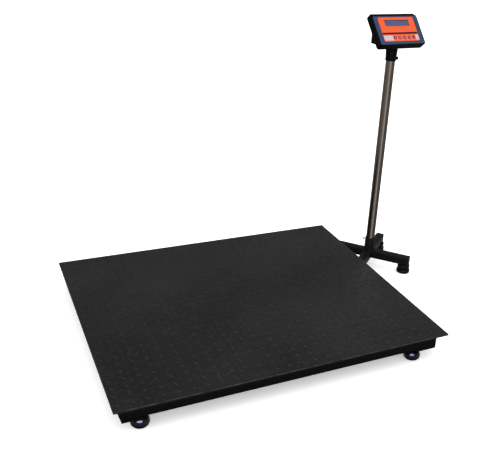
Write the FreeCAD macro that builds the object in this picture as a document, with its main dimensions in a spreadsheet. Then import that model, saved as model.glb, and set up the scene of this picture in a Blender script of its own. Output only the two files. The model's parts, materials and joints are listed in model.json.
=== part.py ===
import FreeCAD, Part
import math
import os
import re
import Sketcher

# Platform shipping scale: a floor platform on four load cells, and beside it a
# free-standing cross base with a column that carries the indicator.
# Millimetres. +Z is up from the floor, +X runs to the right along the deck's
# front edge, +Y runs to its rear edge, and the origin is on the floor in the
# middle of the whole footprint.

SIZES = {
    # deck and frame
    "deck_length": 1200,
    "deck_width": 1000,
    "deck_thickness": 5,
    "rail_width": 50,
    "long_rail_width": 18,
    "rail_height": 32,
    "rail_wall": 3,
    "end_plate_thickness": 3,
    "frame_left_inset": 12,
    "frame_right_inset": 54,
    "rail_snipe": 9,
    "skirt_depth": 7,
    "skirt_length": 85,
    "stiffener_spread": 360,
    # load cells
    "cell_length": 130,
    "cell_width": 30,
    "cell_height": 28,
    "cell_inset": 57,
    "cell_side_inset": 35,
    "cell_hole_edge": 16,
    "cell_bolt_pitch": 26,
    "cell_bolt_radius": 6,
    "cell_bolt_head": 7.5,
    "gauge_pocket_length": 34,
    "gauge_pocket_height": 18,
    "gauge_web": 6,
    "spacer_thickness": 6,
    "spacer_margin": 1,
    # platform feet
    "cup_height": 38,
    "cup_radius": 30,
    "cup_base_radius": 26,
    "cup_neck_radius": 10,
    "pad_radius": 25,
    "pad_height": 6,
    "pad_reveal": 2,
    "stud_radius": 6,
    "stud_shoulder_radius": 10,
    "stud_shoulder_height": 6,
    "stud_engagement": 25,
    "nut_gap": 4,
    "nut_height": 7,
    "nut_flats": 19,
    "running_clearance": 0.05,
    "fine_edge": 1,
    # junction box and leads
    "box_x": 315,
    "box_length": 110,
    "box_width": 74,
    "box_height": 30,
    "box_wall": 2.5,
    "box_lid_thickness": 3,
    "box_screw_inset": 6,
    "box_screw_radius": 1.6,
    "box_screw_length": 10,
    "box_screw_head": 2,
    "box_corner": 4,
    "board_gap": 2,
    "gland_radius": 6,
    "gland_length": 14,
    "gland_spacing": 30,
    "lead_radius": 2.5,
    "lead_bend": 20,
    "lead_hole_radius": 5,
    "board_thickness": 1.6,
    # stand
    "stand_gap": 5.2,
    "stand_y": 231,
    "stand_turn": 42.4,
    "arm_length": 187,
    "arm_section": 36,
    "arm_wall": 2,
    "cap_thickness": 3,
    "glide_inset": 22,
    "glide_height": 38,
    "glide_radius": 29,
    "glide_upper_radius": 26.5,
    "glide_groove_radius": 23.5,
    "glide_edge": 2,
    "glide_stud_radius": 5,
    "glide_stud_length": 26,
    "glide_nut_height": 8,
    "glide_nut_flats": 17,
    "socket_height": 58.5,
    "socket_wall": 3.5,
    "wing_drop": 8,
    "wing_turn": 155,
    "wing_screw_radius": 3,
    "wing_hub_radius": 4.5,
    "wing_hub_length": 7,
    "wing_span": 15,
    "wing_height": 9,
    "wing_thickness": 3,
    "wing_gap": 1,
    "wing_root": 3,
    # column and bracket
    "column_radius": 19,
    "column_wall": 1.5,
    "column_length": 881,
    "heading": 3.9,
    "bracket_depth": 38,
    "bracket_radius": 22,
    "bracket_top_radius": 24,
    "bracket_top": 49,
    "bracket_edge": 3,
    "pivot_height": 62,
    "knuckle_radius": 11,
    "knuckle_width": 33.4,
    "knob_height": 8,
    "knob_screw_radius": 3,
    "knob_radius": 7,
    "knob_length": 10,
    "knob_scallop_radius": 2,
    "knob_scallop_reach": 1.2,
    "knob_gap": 0.5,
    # indicator
    "tilt": 40.4,
    "pivot_setback": 4.5,
    "pivot_drop": 11,
    "yoke_width": 48,
    "yoke_gap": 0.3,
    "yoke_thickness": 5,
    "yoke_start": 14,
    "yoke_end": 31.5,
    "tilt_bolt_radius": 4,
    "tilt_bolt_flats": 13,
    "tilt_bolt_head": 5,
    "tilt_bolt_reach": 4,
    "case_width": 219,
    "case_height": 129,
    "case_crown": 13.5,
    "case_crown_drop": 11,
    "case_depth": 34,
    "case_split": 14,
    "case_wall": 2.5,
    "case_corner": 9,
    "wedge_depth": 21.6,
    "wedge_offset": 21.6,
    "bezel_side": 23.75,
    "bezel_bottom": 15.5,
    "bezel_top": 8,
    "overlay_thickness": 1,
    "overlay_corner": 5,
    "overlay_gap": 0.2,
    "window_width": 114,
    "window_height": 25,
    "window_drop": 25.5,
    "window_ledge": 2,
    "key_radius": 6.5,
    "key_clearance": 0.4,
    "key_margin": 16,
    "key_first": -31,
    "key_pitch": 22.5,
    "key_rise": 0.8,
    "key_edge": 0.4,
    "key_flange": 1,
    "key_flange_height": 0.8,
    "key_stem_radius": 2,
    "key_stem_length": 3.7,
    "display_margin": 4,
    "display_thickness": 5,
    "main_board_margin": 17,
    "main_board_depth": 8.2,
    "battery_length": 105,
    "battery_width": 20,
    "battery_thickness": 9,
    "boss_inset": 9,
    "boss_radius": 4,
    "case_screw_radius": 1.5,
    "case_screw_head": 3,
    "case_screw_head_height": 1.5,
    "socket_spacing": 60,
    "rear_socket_radius": 7,
    "rear_socket_length": 9,
    "rear_socket_tail": 5,
    "rear_socket_flange": 2,
    "rear_socket_step": 1,
}

document = FreeCAD.newDocument("PlatformScale")
sheet = document.addObject("Spreadsheet::Sheet", "Sizes")
for row, (alias, size) in enumerate(SIZES.items(), start=1):
    sheet.set(f"A{row}", alias)
    sheet.set(f"B{row}", str(size))
    sheet.setAlias(f"B{row}", alias)
document.recompute()

NODES = []

# Heights of the stack from the floor to the deck.
CELL_BOTTOM = "(cup_height + nut_gap + nut_height)"
CELL_TOP = f"({CELL_BOTTOM} + cell_height)"
DECK_UNDERSIDE = f"({CELL_TOP} + spacer_thickness)"

# Distances from the deck's centre to the frame's ends.
FRAME_LEFT = "(frame_left_inset - deck_length / 2)"
FRAME_RIGHT = "(deck_length / 2 - frame_right_inset)"
FRAME_MIDDLE = f"(({FRAME_RIGHT} + {FRAME_LEFT}) / 2)"
FOOT_INSET = "(cell_inset + cell_hole_edge)"

# The leads run at the middle height of the load cells: measured down from the deck's
# underside, and up from the open side of the junction box.
LEAD_LEVEL = "(-spacer_thickness - cell_height / 2)"
BOX_PORT = f"(box_height - box_lid_thickness + {LEAD_LEVEL})"

# The deck's centre, with the origin in the middle of the whole footprint.
GLIDE_REACH = "(arm_length - glide_inset)"
ARM_EXTENT = "(arm_length * cos(stand_turn) + arm_section / 2 * sin(stand_turn))"
GLIDE_EXTENT = f"({GLIDE_REACH} * cos(stand_turn) + glide_radius)"
STAND_REACH = f"max({ARM_EXTENT}; {GLIDE_EXTENT})"
STAND_OFFSET = f"({FRAME_RIGHT} + stand_gap + {STAND_REACH})"
DECK_X = f"(-({STAND_OFFSET} + {STAND_REACH} - deck_length / 2) / 2)"
STAND_X = f"({DECK_X} + {STAND_OFFSET})"

ARM_TOP = "(glide_height + arm_section)"
BRACKET_BOTTOM = f"({ARM_TOP} + column_length - bracket_depth)"
STAND_TURNS = {"front_right": -90, "rear_right": 0, "rear_left": 90, "front_left": 180}


def formula(text):
    """The text with every size's name turned into its cell in the sheet."""
    def cell(word):
        return f"Sizes.{word[0]}" if word[0] in SIZES else word[0]
    return re.sub(r"[a-z_]+", cell, str(text))


def number(text):
    return float(sheet.evalExpression(formula(text)))


def bind(item, **expressions):
    for name, text in expressions.items():
        item.setExpression(name, formula(text))


def place(item, x=0, y=0, z=0, turn="0; 0; 0", start=None):
    """Place an item by a shift and yaw, pitch and roll, within the frame `start` if there is one."""
    own = f"placement(vector({x}; {y}; {z}); rotation({turn}))"
    item.setExpression("Placement", formula(f"{start} * {own}" if start else own))


def node(name, item):
    item.Label = name
    NODES.append(item)
    return item


def group(name, members):
    """Identical separate solids that share one node."""
    compound = document.addObject("Part::Compound", name)
    compound.Links = members
    return node(name, compound)


def new_body(name):
    return document.addObject("PartDesign::Body", name)


def sketch(body, plane, lift="0"):
    """A sketch on one of the body's own origin planes, lifted along its normal."""
    flat = body.newObject("Sketcher::SketchObject", "Sketch")
    support = next(item for item in body.Origin.OriginFeatures if item.Role == f"{plane}_Plane")
    flat.AttachmentSupport = [(support, "")]
    flat.MapMode = "FlatFace"
    flat.setExpression(".AttachmentOffset.Base.z", formula(lift))
    return flat


def fix_point(flat, index, point, x, y):
    for kind, text in (("DistanceX", x), ("DistanceY", y)):
        place_in_list = flat.addConstraint(Sketcher.Constraint(kind, -1, 1, index, point, number(text)))
        flat.setExpression(f"Constraints[{place_in_list}]", formula(text))


def polygon(flat, points):
    first = flat.GeometryCount
    count = len(points)
    corners = [FreeCAD.Vector(number(x), number(y), 0) for x, y in points]
    for index in range(count):
        flat.addGeometry(Part.LineSegment(corners[index], corners[(index + 1) % count]))
    for index in range(count):
        following = first + (index + 1) % count
        flat.addConstraint(Sketcher.Constraint("Coincident", first + index, 2, following, 1))
    for index, (x, y) in enumerate(points):
        fix_point(flat, first + index, 1, x, y)


def rectangle(flat, left, bottom, right, top):
    polygon(flat, [(left, bottom), (right, bottom), (right, top), (left, top)])


def circle(flat, x, y, radius):
    centre = FreeCAD.Vector(number(x), number(y), 0)
    index = flat.addGeometry(Part.Circle(centre, FreeCAD.Vector(0, 0, 1), number(radius)))
    fix_point(flat, index, 3, x, y)
    size = flat.addConstraint(Sketcher.Constraint("Radius", index, number(radius)))
    flat.setExpression(f"Constraints[{size}]", formula(radius))


def feature(body, kind, flat, length=None, midplane=False, reversed_side=False):
    item = body.newObject(f"PartDesign::{kind}", kind)
    item.Profile = flat
    item.Midplane = midplane
    item.Reversed = reversed_side
    if length is None:
        item.Type = "ThroughAll"
    else:
        item.setExpression("Length", formula(length))
    flat.Visibility = False
    return item


def pad(body, flat, length, **options):
    return feature(body, "Pad", flat, length, **options)


def pocket(body, flat, length=None, **options):
    """A cut, checked to have taken material away."""
    document.recompute()
    before = body.Shape.Volume
    item = feature(body, "Pocket", flat, length, **options)
    document.recompute()
    if body.Shape.Volume > before - 1e-3:
        raise RuntimeError(f"{body.Name}: a pocket cuts nothing")
    return item


def revolve(body, flat):
    item = body.newObject("PartDesign::Revolution", "Revolution")
    item.Profile = flat
    item.ReferenceAxis = (flat, ["V_Axis"])
    item.Angle = 360
    return item


def turned(name, points):
    """A body turned about its own Z axis from (radius, height) points."""
    body = new_body(name)
    flat = sketch(body, "XZ")
    polygon(flat, points)
    revolve(body, flat)
    return body


def round_edges(body, radius, chooses):
    document.recompute()
    base = body.Tip
    names = [f"Edge{index}" for index, edge in enumerate(base.Shape.Edges, start=1) if chooses(edge)]
    fillet = body.newObject("PartDesign::Fillet", "Fillet")
    fillet.Base = (base, names)
    fillet.setExpression("Radius", formula(radius))


def along(axis):
    """A test for straight edges that run along the named axis."""
    def chooses(edge):
        box = edge.BoundBox
        spans = {"X": box.XLength, "Y": box.YLength, "Z": box.ZLength}
        return spans.pop(axis) > 0.1 and max(spans.values()) < 1e-4
    return chooses


def cylinder(name, radius, height):
    item = document.addObject("Part::Cylinder", name)
    bind(item, Radius=radius, Height=height)
    return item


def block(name, length, width, height):
    item = document.addObject("Part::Box", name)
    bind(item, Length=length, Width=width, Height=height)
    return item


def prism(name, flats, height):
    item = document.addObject("Part::Prism", name)
    item.Polygon = 6
    bind(item, Circumradius=f"{flats} / 2 / cos(30)", Height=height)
    return item


def cut(name, base, tool):
    item = document.addObject("Part::Cut", name)
    item.Base = base
    item.Tool = tool
    return item


def fuse(name, members):
    item = document.addObject("Part::MultiFuse", name)
    item.Shapes = members
    return item


def hex_nut(name, flats, height, hole):
    """A hexagon nut that stands on its own XY plane."""
    bore = cylinder(f"{name}_bore", hole, height)
    return cut(name, prism(f"{name}_hexagon", flats, height), bore)


# ---------------------------------------------------------------- platform

def corner_signs():
    for row, y_side in (("front", -1), ("rear", 1)):
        for column, x_side in (("left", -1), ("right", 1)):
            yield f"{row}_{column}", x_side, y_side


def corner_x(x_side, inset):
    """A place measured inwards from the frame's left or right end."""
    end = FRAME_RIGHT if x_side > 0 else FRAME_LEFT
    return f"({DECK_X} + {end} - {x_side} * ({inset}))"


def corner_y(y_side, inset):
    return f"({y_side} * (deck_width / 2 - ({inset})))"


def make_deck():
    body = new_body("deck_plate_body")
    flat = sketch(body, "XY")
    rectangle(flat, "-deck_length / 2", "-deck_width / 2", "deck_length / 2", "deck_width / 2")
    pad(body, flat, "deck_thickness")
    place(body, DECK_X, 0, DECK_UNDERSIDE)
    node("deck_plate", body)


def make_long_rail(name, y_side):
    """A tube along the deck's front or rear edge, its left end cut at a slant."""
    body = new_body(f"{name}_body")
    flat = sketch(body, "XZ")
    left = f"{FRAME_LEFT} + end_plate_thickness"
    right = f"{FRAME_RIGHT} - end_plate_thickness"
    polygon(flat, [(left, 0), (f"{left} + rail_snipe", "-rail_height"), (right, "-rail_height"), (right, 0)])
    pad(body, flat, "long_rail_width", midplane=True)
    bore = sketch(body, "YZ")
    half = "long_rail_width / 2 - rail_wall"
    rectangle(bore, f"-({half})", "rail_wall - rail_height", half, "-rail_wall")
    pocket(body, bore, midplane=True)
    place(body, DECK_X, corner_y(y_side, "long_rail_width / 2"), DECK_UNDERSIDE)
    node(name, body)


def make_end_plates():
    """Plates over the long rails' four ends, each with a skirt that hides the load cell."""
    plates = []
    bottom = "(-rail_height - skirt_depth)"
    for corner, x_side, y_side in corner_signs():
        body = new_body(f"end_plate_{corner}")
        flat = sketch(body, "XZ")
        snipe = "rail_snipe" if x_side < 0 else "0"
        inner = f"{-x_side} * end_plate_thickness"
        skirt_end = f"{-x_side} * skirt_length"
        polygon(flat, [(0, 0), (f"-{snipe} * {bottom} / rail_height", bottom), (skirt_end, bottom),
                       (skirt_end, "-rail_height"), (f"{snipe} + {inner}", "-rail_height"), (inner, 0)])
        pad(body, flat, "long_rail_width", midplane=True)
        place(body, corner_x(x_side, 0), corner_y(y_side, "long_rail_width / 2"), DECK_UNDERSIDE)
        plates.append(body)
    group("rail_end_plates", plates)


def make_cross_rail(name, x, slanted=False, lead_holes=False):
    """A tube from the front rail to the rear rail."""
    body = new_body(f"{name}_body")
    length = "deck_width - 2 * long_rail_width"
    half = "rail_width / 2"
    snipe = "rail_snipe" if slanted else "0"
    outer = sketch(body, "XZ")
    polygon(outer, [(f"-{half}", 0), (f"{snipe} - {half}", "-rail_height"),
                    (half, "-rail_height"), (half, 0)])
    pad(body, outer, length, midplane=True)
    bore = sketch(body, "XZ")
    inner = f"({half} - rail_wall)"
    floor = "rail_wall - rail_height"
    polygon(bore, [(f"-{inner}", "-rail_wall"), (f"{snipe} - {inner}", floor),
                   (inner, floor), (inner, "-rail_wall")])
    pocket(body, bore, midplane=True)
    if lead_holes:
        holes = sketch(body, "YZ")
        for side in (-1, 1):
            circle(holes, f"{side} * (deck_width / 2 - cell_side_inset)", LEAD_LEVEL, "lead_hole_radius")
        pocket(body, holes, midplane=True)
    place(body, x, 0, DECK_UNDERSIDE)
    node(name, body)


def make_load_cells():
    """Shear beams: two bolt holes at the deck end, a stud hole at the foot end."""
    cells = []
    for corner, x_side, y_side in corner_signs():
        body = new_body(f"load_cell_{corner}")
        side = sketch(body, "XZ")
        rectangle(side, 0, 0, "cell_length", "cell_height")
        pad(body, side, "cell_width", midplane=True)
        holes = sketch(body, "XY")
        circle(holes, "cell_hole_edge", 0, "stud_radius + running_clearance")
        for step in (0, 1):
            place_along = f"cell_length - cell_hole_edge - {step} * cell_bolt_pitch"
            circle(holes, place_along, 0, "cell_bolt_radius + running_clearance")
        pocket(body, holes, midplane=True)
        for face in (False, True):
            gauge = sketch(body, "XZ", "cell_width / 2" if face else "-cell_width / 2")
            centre = "(cell_length - cell_bolt_pitch) / 2"
            rectangle(gauge, f"{centre} - gauge_pocket_length / 2", "(cell_height - gauge_pocket_height) / 2",
                      f"{centre} + gauge_pocket_length / 2", "(cell_height + gauge_pocket_height) / 2")
            pocket(body, gauge, "(cell_width - gauge_web) / 2", reversed_side=not face)
        turn = "0; 0; 0" if x_side < 0 else "180; 0; 0"
        place(body, corner_x(x_side, "cell_inset"), corner_y(y_side, "cell_side_inset"), CELL_BOTTOM, turn)
        cells.append(body)
    group("load_cells", cells)


def bolt_places(x_side):
    for step in (0, 1):
        inset = f"cell_inset + cell_length - cell_hole_edge - {step} * cell_bolt_pitch"
        yield corner_x(x_side, inset)


def make_spacers_and_bolts():
    """Tapped plates under the deck, and the bolts that hold each cell to them."""
    plates = []
    bolts = []
    span = "(cell_bolt_pitch + 2 * cell_hole_edge)"
    for corner, x_side, y_side in corner_signs():
        plate = block(f"spacer_{corner}", span, "cell_width + 2 * spacer_margin", "spacer_thickness")
        middle = f"cell_inset + cell_length - {span} / 2"
        place(plate, f"{corner_x(x_side, middle)} - {span} / 2",
              f"{corner_y(y_side, "cell_side_inset")} - cell_width / 2 - spacer_margin", CELL_TOP)
        holes = []
        for count, x in enumerate(bolt_places(x_side)):
            name = f"cell_bolt_{corner}_{count + 1}"
            hole = cylinder(f"{name}_hole", "cell_bolt_radius", "spacer_thickness")
            place(hole, x, corner_y(y_side, "cell_side_inset"), CELL_TOP)
            holes.append(hole)
            shank = cylinder(f"{name}_shank", "cell_bolt_radius", "cell_height + spacer_thickness")
            place(shank, 0, 0, "cell_bolt_head")
            head = prism(f"{name}_head", "nut_flats", "cell_bolt_head")
            bolt = fuse(name, [head, shank])
            place(bolt, x, corner_y(y_side, "cell_side_inset"), f"{CELL_BOTTOM} - cell_bolt_head")
            bolts.append(bolt)
        plates.append(cut(f"spacer_plate_{corner}", plate, fuse(f"spacer_holes_{corner}", holes)))
    group("cell_spacer_plates", plates)
    group("load_cell_bolts", bolts)


def make_lock_nuts():
    nuts = []
    for corner, x_side, y_side in corner_signs():
        nut = hex_nut(f"lock_nut_{corner}", "nut_flats", "nut_height", "stud_radius + running_clearance")
        place(nut, corner_x(x_side, FOOT_INSET), corner_y(y_side, "cell_side_inset"), "cup_height + nut_gap")
        nuts.append(nut)
    group("foot_lock_nuts", nuts)


def make_foot(corner, x_side, y_side):
    """A domed cup on a rubber pad, with a shouldered stud screwed into the cell."""
    at = (corner_x(x_side, FOOT_INSET), corner_y(y_side, "cell_side_inset"))
    shoulder_top = "(pad_height + stud_shoulder_height)"
    hole = "stud_radius + running_clearance"
    cup = new_body(f"foot_cup_{corner}_body")
    flat = sketch(cup, "XZ")
    polygon(flat, [("stud_shoulder_radius", "pad_height"), ("pad_radius", "pad_height"),
                   ("pad_radius", "pad_reveal"), ("cup_base_radius", "pad_reveal"),
                   ("cup_radius * 0.97", "cup_height * 0.15"), ("cup_radius", "cup_height * 0.32"),
                   ("cup_radius * 0.95", "cup_height * 0.5"), ("cup_radius * 0.82", "cup_height * 0.68"),
                   ("cup_radius * 0.6", "cup_height * 0.84"), ("cup_neck_radius", "cup_height"),
                   (hole, "cup_height"), (hole, shoulder_top),
                   ("stud_shoulder_radius", shoulder_top)])
    revolve(cup, flat)
    place(cup, *at)
    node(f"foot_cup_{corner}", cup)
    pad_disc = cylinder(f"foot_pad_{corner}_disc", "pad_radius", "pad_height")
    place(pad_disc, *at)
    node(f"foot_pad_{corner}", pad_disc)
    stud_top = f"({CELL_BOTTOM} + stud_engagement)"
    stud = turned(f"foot_stud_{corner}_body", [
        (0, "pad_height"), ("stud_shoulder_radius", "pad_height"), ("stud_shoulder_radius", shoulder_top),
        ("stud_radius", shoulder_top), ("stud_radius", f"{stud_top} - fine_edge"),
        ("stud_radius - fine_edge", stud_top),
        (0, stud_top)])
    place(stud, *at)
    node(f"foot_stud_{corner}", stud)


def make_junction_box():
    """A shallow box under the deck, open downwards, closed by a lid with four screws."""
    body = new_body("junction_box_base_body")
    outer = sketch(body, "XY")
    half_x = "box_width / 2"
    half_y = "box_length / 2"
    rectangle(outer, f"-{half_x}", f"-{half_y}", half_x, half_y)
    depth = "(box_height - box_lid_thickness)"
    pad(body, outer, depth)
    round_edges(body, "box_corner", along("Z"))
    inner = sketch(body, "XY")
    corner = "(box_wall + 2 * box_screw_inset)"
    rectangle(inner, f"box_wall - {half_x}", f"{corner} - {half_y}",
              f"{half_x} - box_wall", f"{half_y} - {corner}")
    pocket(body, inner, f"{depth} - box_wall", reversed_side=True)
    screws = sketch(body, "XY")
    ports = sketch(body, "XZ", f"-{half_y}")
    rear_ports = sketch(body, "XZ", half_y)
    for x_side in (-1, 1):
        for y_side in (-1, 1):
            circle(screws, f"{x_side} * ({half_x} - box_screw_inset)",
                   f"{y_side} * ({half_y} - box_screw_inset)", "box_screw_radius")
        for flat in (ports, rear_ports):
            circle(flat, f"{x_side} * gland_spacing / 2", BOX_PORT, "lead_radius + running_clearance")
    pocket(body, screws, "box_screw_length", reversed_side=True)
    pocket(body, ports, corner, reversed_side=True)
    pocket(body, rear_ports, corner)
    outlet = sketch(body, "YZ")
    circle(outlet, 0, BOX_PORT, "gland_radius / 2")
    pocket(body, outlet, half_x, reversed_side=True)
    place(body, f"{DECK_X} + box_x", 0, f"{DECK_UNDERSIDE} - {depth}")
    node("junction_box_base", body)

    lid = new_body("junction_box_lid_body")
    face = sketch(lid, "XY")
    rectangle(face, f"-{half_x}", f"-{half_y}", half_x, half_y)
    pad(lid, face, "box_lid_thickness")
    round_edges(lid, "box_corner", along("Z"))
    holes = sketch(lid, "XY")
    for x_side in (-1, 1):
        for y_side in (-1, 1):
            circle(holes, f"{x_side} * ({half_x} - box_screw_inset)",
                   f"{y_side} * ({half_y} - box_screw_inset)", "box_screw_radius")
    pocket(lid, holes, midplane=True)
    lid_bottom = f"({DECK_UNDERSIDE} - box_height)"
    place(lid, f"{DECK_X} + box_x", 0, lid_bottom)
    node("junction_box_lid", lid)

    fasteners = []
    for corner_name, x_side, y_side in corner_signs():
        length = "box_lid_thickness + box_screw_length"
        shank = cylinder(f"box_screw_{corner_name}_shank", "box_screw_radius", length)
        place(shank, 0, 0, "box_screw_head")
        head = cylinder(f"box_screw_{corner_name}_head", "box_screw_radius * 2", "box_screw_head")
        screw = fuse(f"box_screw_{corner_name}", [head, shank])
        place(screw, f"{DECK_X} + box_x + {x_side} * ({half_x} - box_screw_inset)",
              f"{y_side} * ({half_y} - box_screw_inset)", f"{lid_bottom} - box_screw_head")
        fasteners.append(screw)
    group("junction_box_screws", fasteners)

    board = block("summing_board_block", "box_width - 2 * box_wall - 2 * board_gap",
                  f"box_length - 2 * {corner} - 2 * board_gap", "board_thickness")
    board_left = f"{DECK_X} + box_x - box_width / 2 + box_wall + board_gap"
    place(board, board_left, f"board_gap + {corner} - {half_y}",
          f"{DECK_UNDERSIDE} - box_wall - board_gap - board_thickness")
    node("summing_board", board)


def make_gland(name, hole):
    """A ring-shaped gland along its own Z axis: a hexagon and a domed nose."""
    flange = prism(f"{name}_flange", "gland_radius * 2", "gland_length * 0.45")
    nose = cylinder(f"{name}_nose", "gland_radius * 0.8", "gland_length")
    bore = cylinder(f"{name}_bore", hole, "gland_length")
    return cut(name, fuse(f"{name}_solid", [flange, nose]), bore)


def make_glands_and_leads():
    glands = []
    leads = []
    hole = "lead_radius + running_clearance"
    level = f"({DECK_UNDERSIDE} + {LEAD_LEVEL})"
    for corner, x_side, y_side in corner_signs():
        port_x = f"({DECK_X} + box_x + {x_side} * gland_spacing / 2)"
        gland = make_gland(f"gland_{corner}", hole)
        place(gland, port_x, f"{y_side} * box_length / 2", level, f"0; 0; {-90 * y_side}")
        glands.append(gland)

        start_x = corner_x(x_side, "cell_inset + cell_length")
        run_x = f"({-x_side} * ({port_x} - {start_x}))"
        run_y = "(deck_width / 2 - cell_side_inset - box_length / 2)"
        body = new_body(f"lead_{corner}")
        path = sketch(body, "XY")
        bend_start = FreeCAD.Vector(number(f"{run_x} - lead_bend"), 0, 0)
        bend_end = FreeCAD.Vector(number(run_x), number("lead_bend"), 0)
        centre = FreeCAD.Vector(bend_start.x, bend_end.y, 0)
        down = FreeCAD.Vector(0, 0, 1)
        path.addGeometry(Part.LineSegment(FreeCAD.Vector(0, 0, 0), bend_start))
        full = Part.Circle(centre, down, number("lead_bend"))
        path.addGeometry(Part.ArcOfCircle(full, -math.pi / 2, 0))
        path.addGeometry(Part.LineSegment(bend_end, FreeCAD.Vector(bend_end.x, number(run_y), 0)))
        path.addConstraint(Sketcher.Constraint("Tangent", 0, 2, 1, 1))
        path.addConstraint(Sketcher.Constraint("Tangent", 1, 2, 2, 1))
        path.addConstraint(Sketcher.Constraint("Horizontal", 0))
        fix_point(path, 0, 1, 0, 0)
        fix_point(path, 2, 2, run_x, run_y)
        radius = path.addConstraint(Sketcher.Constraint("Radius", 1, number("lead_bend")))
        path.setExpression(f"Constraints[{radius}]", formula("lead_bend"))
        ring = sketch(body, "YZ")
        circle(ring, 0, 0, "lead_radius")
        pipe = body.newObject("PartDesign::AdditivePipe", "AdditivePipe")
        pipe.Profile = ring
        pipe.Spine = (path, [])
        flips = {(-1, -1): "0; 0; 0", (1, -1): "0; 180; 0", (-1, 1): "0; 0; 180", (1, 1): "180; 0; 0"}
        place(body, start_x, corner_y(y_side, "cell_side_inset"), level, flips[(x_side, y_side)])
        leads.append(body)
    outlet = make_gland("gland_outlet", "gland_radius / 2")
    place(outlet, f"{DECK_X} + box_x + box_width / 2", 0, level, "0; 90; 0")
    frame_gland = make_gland("gland_frame", "gland_radius / 2")
    place(frame_gland, f"{DECK_X} + {FRAME_RIGHT}", 0, level, "0; 90; 0")
    group("cable_glands", glands + [outlet, frame_gland])
    group("load_cell_leads", leads)


def make_platform():
    make_deck()
    make_long_rail("front_rail", -1)
    make_long_rail("rear_rail", 1)
    make_end_plates()
    make_cross_rail("left_rail", f"{DECK_X} + {FRAME_LEFT} + rail_width / 2", slanted=True)
    make_cross_rail("right_rail", f"{DECK_X} + {FRAME_RIGHT} - rail_width / 2")
    middle = f"{DECK_X} + {FRAME_MIDDLE}"
    make_cross_rail("deck_stiffener_left", f"{middle} - stiffener_spread / 2", lead_holes=True)
    make_cross_rail("deck_stiffener_right", f"{middle} + stiffener_spread / 2", lead_holes=True)
    make_load_cells()
    make_spacers_and_bolts()
    make_lock_nuts()
    make_junction_box()
    make_glands_and_leads()
    for corner, x_side, y_side in corner_signs():
        make_foot(corner, x_side, y_side)


# ---------------------------------------------------------------- stand

def around_stand(turn):
    """A frame at the cross's centre on the floor, its X axis along one arm."""
    return f"placement(vector({STAND_X}; stand_y; 0); rotation(stand_turn + {turn}; 0; 0))"


def make_tube(name, start, end, turn, holes_at):
    """A square tube of the cross along its own X axis, with stud holes in its lower wall."""
    body = new_body(f"{name}_body")
    half = "arm_section / 2"
    outer = sketch(body, "XZ")
    rectangle(outer, start, 0, end, "arm_section")
    pad(body, outer, "arm_section", midplane=True)
    bore = sketch(body, "YZ")
    rectangle(bore, f"arm_wall - {half}", "arm_wall", f"{half} - arm_wall", "arm_section - arm_wall")
    pocket(body, bore, midplane=True)
    holes = sketch(body, "XY")
    for x in holes_at:
        circle(holes, x, 0, "glide_stud_radius + running_clearance")
    pocket(body, holes, "arm_wall", reversed_side=True)
    place(body, 0, 0, "glide_height", start=around_stand(turn))
    node(name, body)


def make_cross():
    tube_end = "(arm_length - cap_thickness)"
    make_tube("cross_long_tube", f"-{tube_end}", tube_end, 90, [GLIDE_REACH, f"-{GLIDE_REACH}"])
    make_tube("cross_short_tube_right", "arm_section / 2", tube_end, 0, [GLIDE_REACH])
    make_tube("cross_short_tube_left", "arm_section / 2", tube_end, 180, [GLIDE_REACH])
    caps = []
    nuts = []
    inside = "(arm_section - 2 * arm_wall)"
    plug_length = f"({tube_end} - {GLIDE_REACH} - glide_nut_flats / 2 / cos(30) - fine_edge)"
    for corner, turn in STAND_TURNS.items():
        flange = block(f"cap_flange_{corner}", "cap_thickness", "arm_section", "arm_section")
        place(flange, tube_end, "-arm_section / 2", "glide_height")
        plug = block(f"cap_plug_{corner}", plug_length, inside, inside)
        place(plug, f"{tube_end} - {plug_length}", f"-{inside} / 2", "glide_height + arm_wall")
        cap = fuse(f"end_cap_{corner}", [flange, plug])
        place(cap, start=around_stand(turn))
        caps.append(cap)
        nut = hex_nut(f"glide_nut_{corner}", "glide_nut_flats", "glide_nut_height",
                      "glide_stud_radius + running_clearance")
        place(nut, GLIDE_REACH, 0, "glide_height + arm_wall", start=around_stand(turn))
        nuts.append(nut)
    group("cross_end_caps", caps)
    group("glide_nuts", nuts)


def make_glide(corner, turn):
    """A two-step plastic foot with a groove between its steps and a moulded-in stud."""
    height = "glide_height"
    stud_top = f"({height} + glide_stud_length)"
    body = turned(f"stand_glide_{corner}_body", [
        (0, 0), ("glide_radius - glide_edge", 0), ("glide_radius", "glide_edge"),
        ("glide_radius", f"{height} * 0.36"),
        ("glide_groove_radius", f"{height} * 0.42"), ("glide_groove_radius", f"{height} * 0.52"),
        ("glide_upper_radius", f"{height} * 0.58"), ("glide_upper_radius", f"{height} - glide_edge"),
        ("glide_upper_radius - glide_edge", height), ("glide_stud_radius", height),
        ("glide_stud_radius", stud_top), (0, stud_top)])
    place(body, GLIDE_REACH, 0, 0, start=around_stand(turn))
    node(f"stand_glide_{corner}", body)


def make_socket():
    """The sleeve that the column stands in, tapped for the wing screw."""
    bore_radius = "(column_radius + running_clearance)"
    body = turned("column_socket_body", [
        (bore_radius, 0), (f"{bore_radius} + socket_wall", 0),
        (f"{bore_radius} + socket_wall", "socket_height - fine_edge"),
        (f"{bore_radius} + socket_wall - fine_edge", "socket_height"), (bore_radius, "socket_height")])
    hole = sketch(body, "YZ")
    circle(hole, 0, "socket_height - wing_drop", "wing_screw_radius + running_clearance")
    pocket(body, hole, "column_radius + 2 * socket_wall", reversed_side=True)
    place(body, STAND_X, "stand_y", ARM_TOP, "wing_turn; 0; 0")
    node("column_socket", body)


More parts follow.
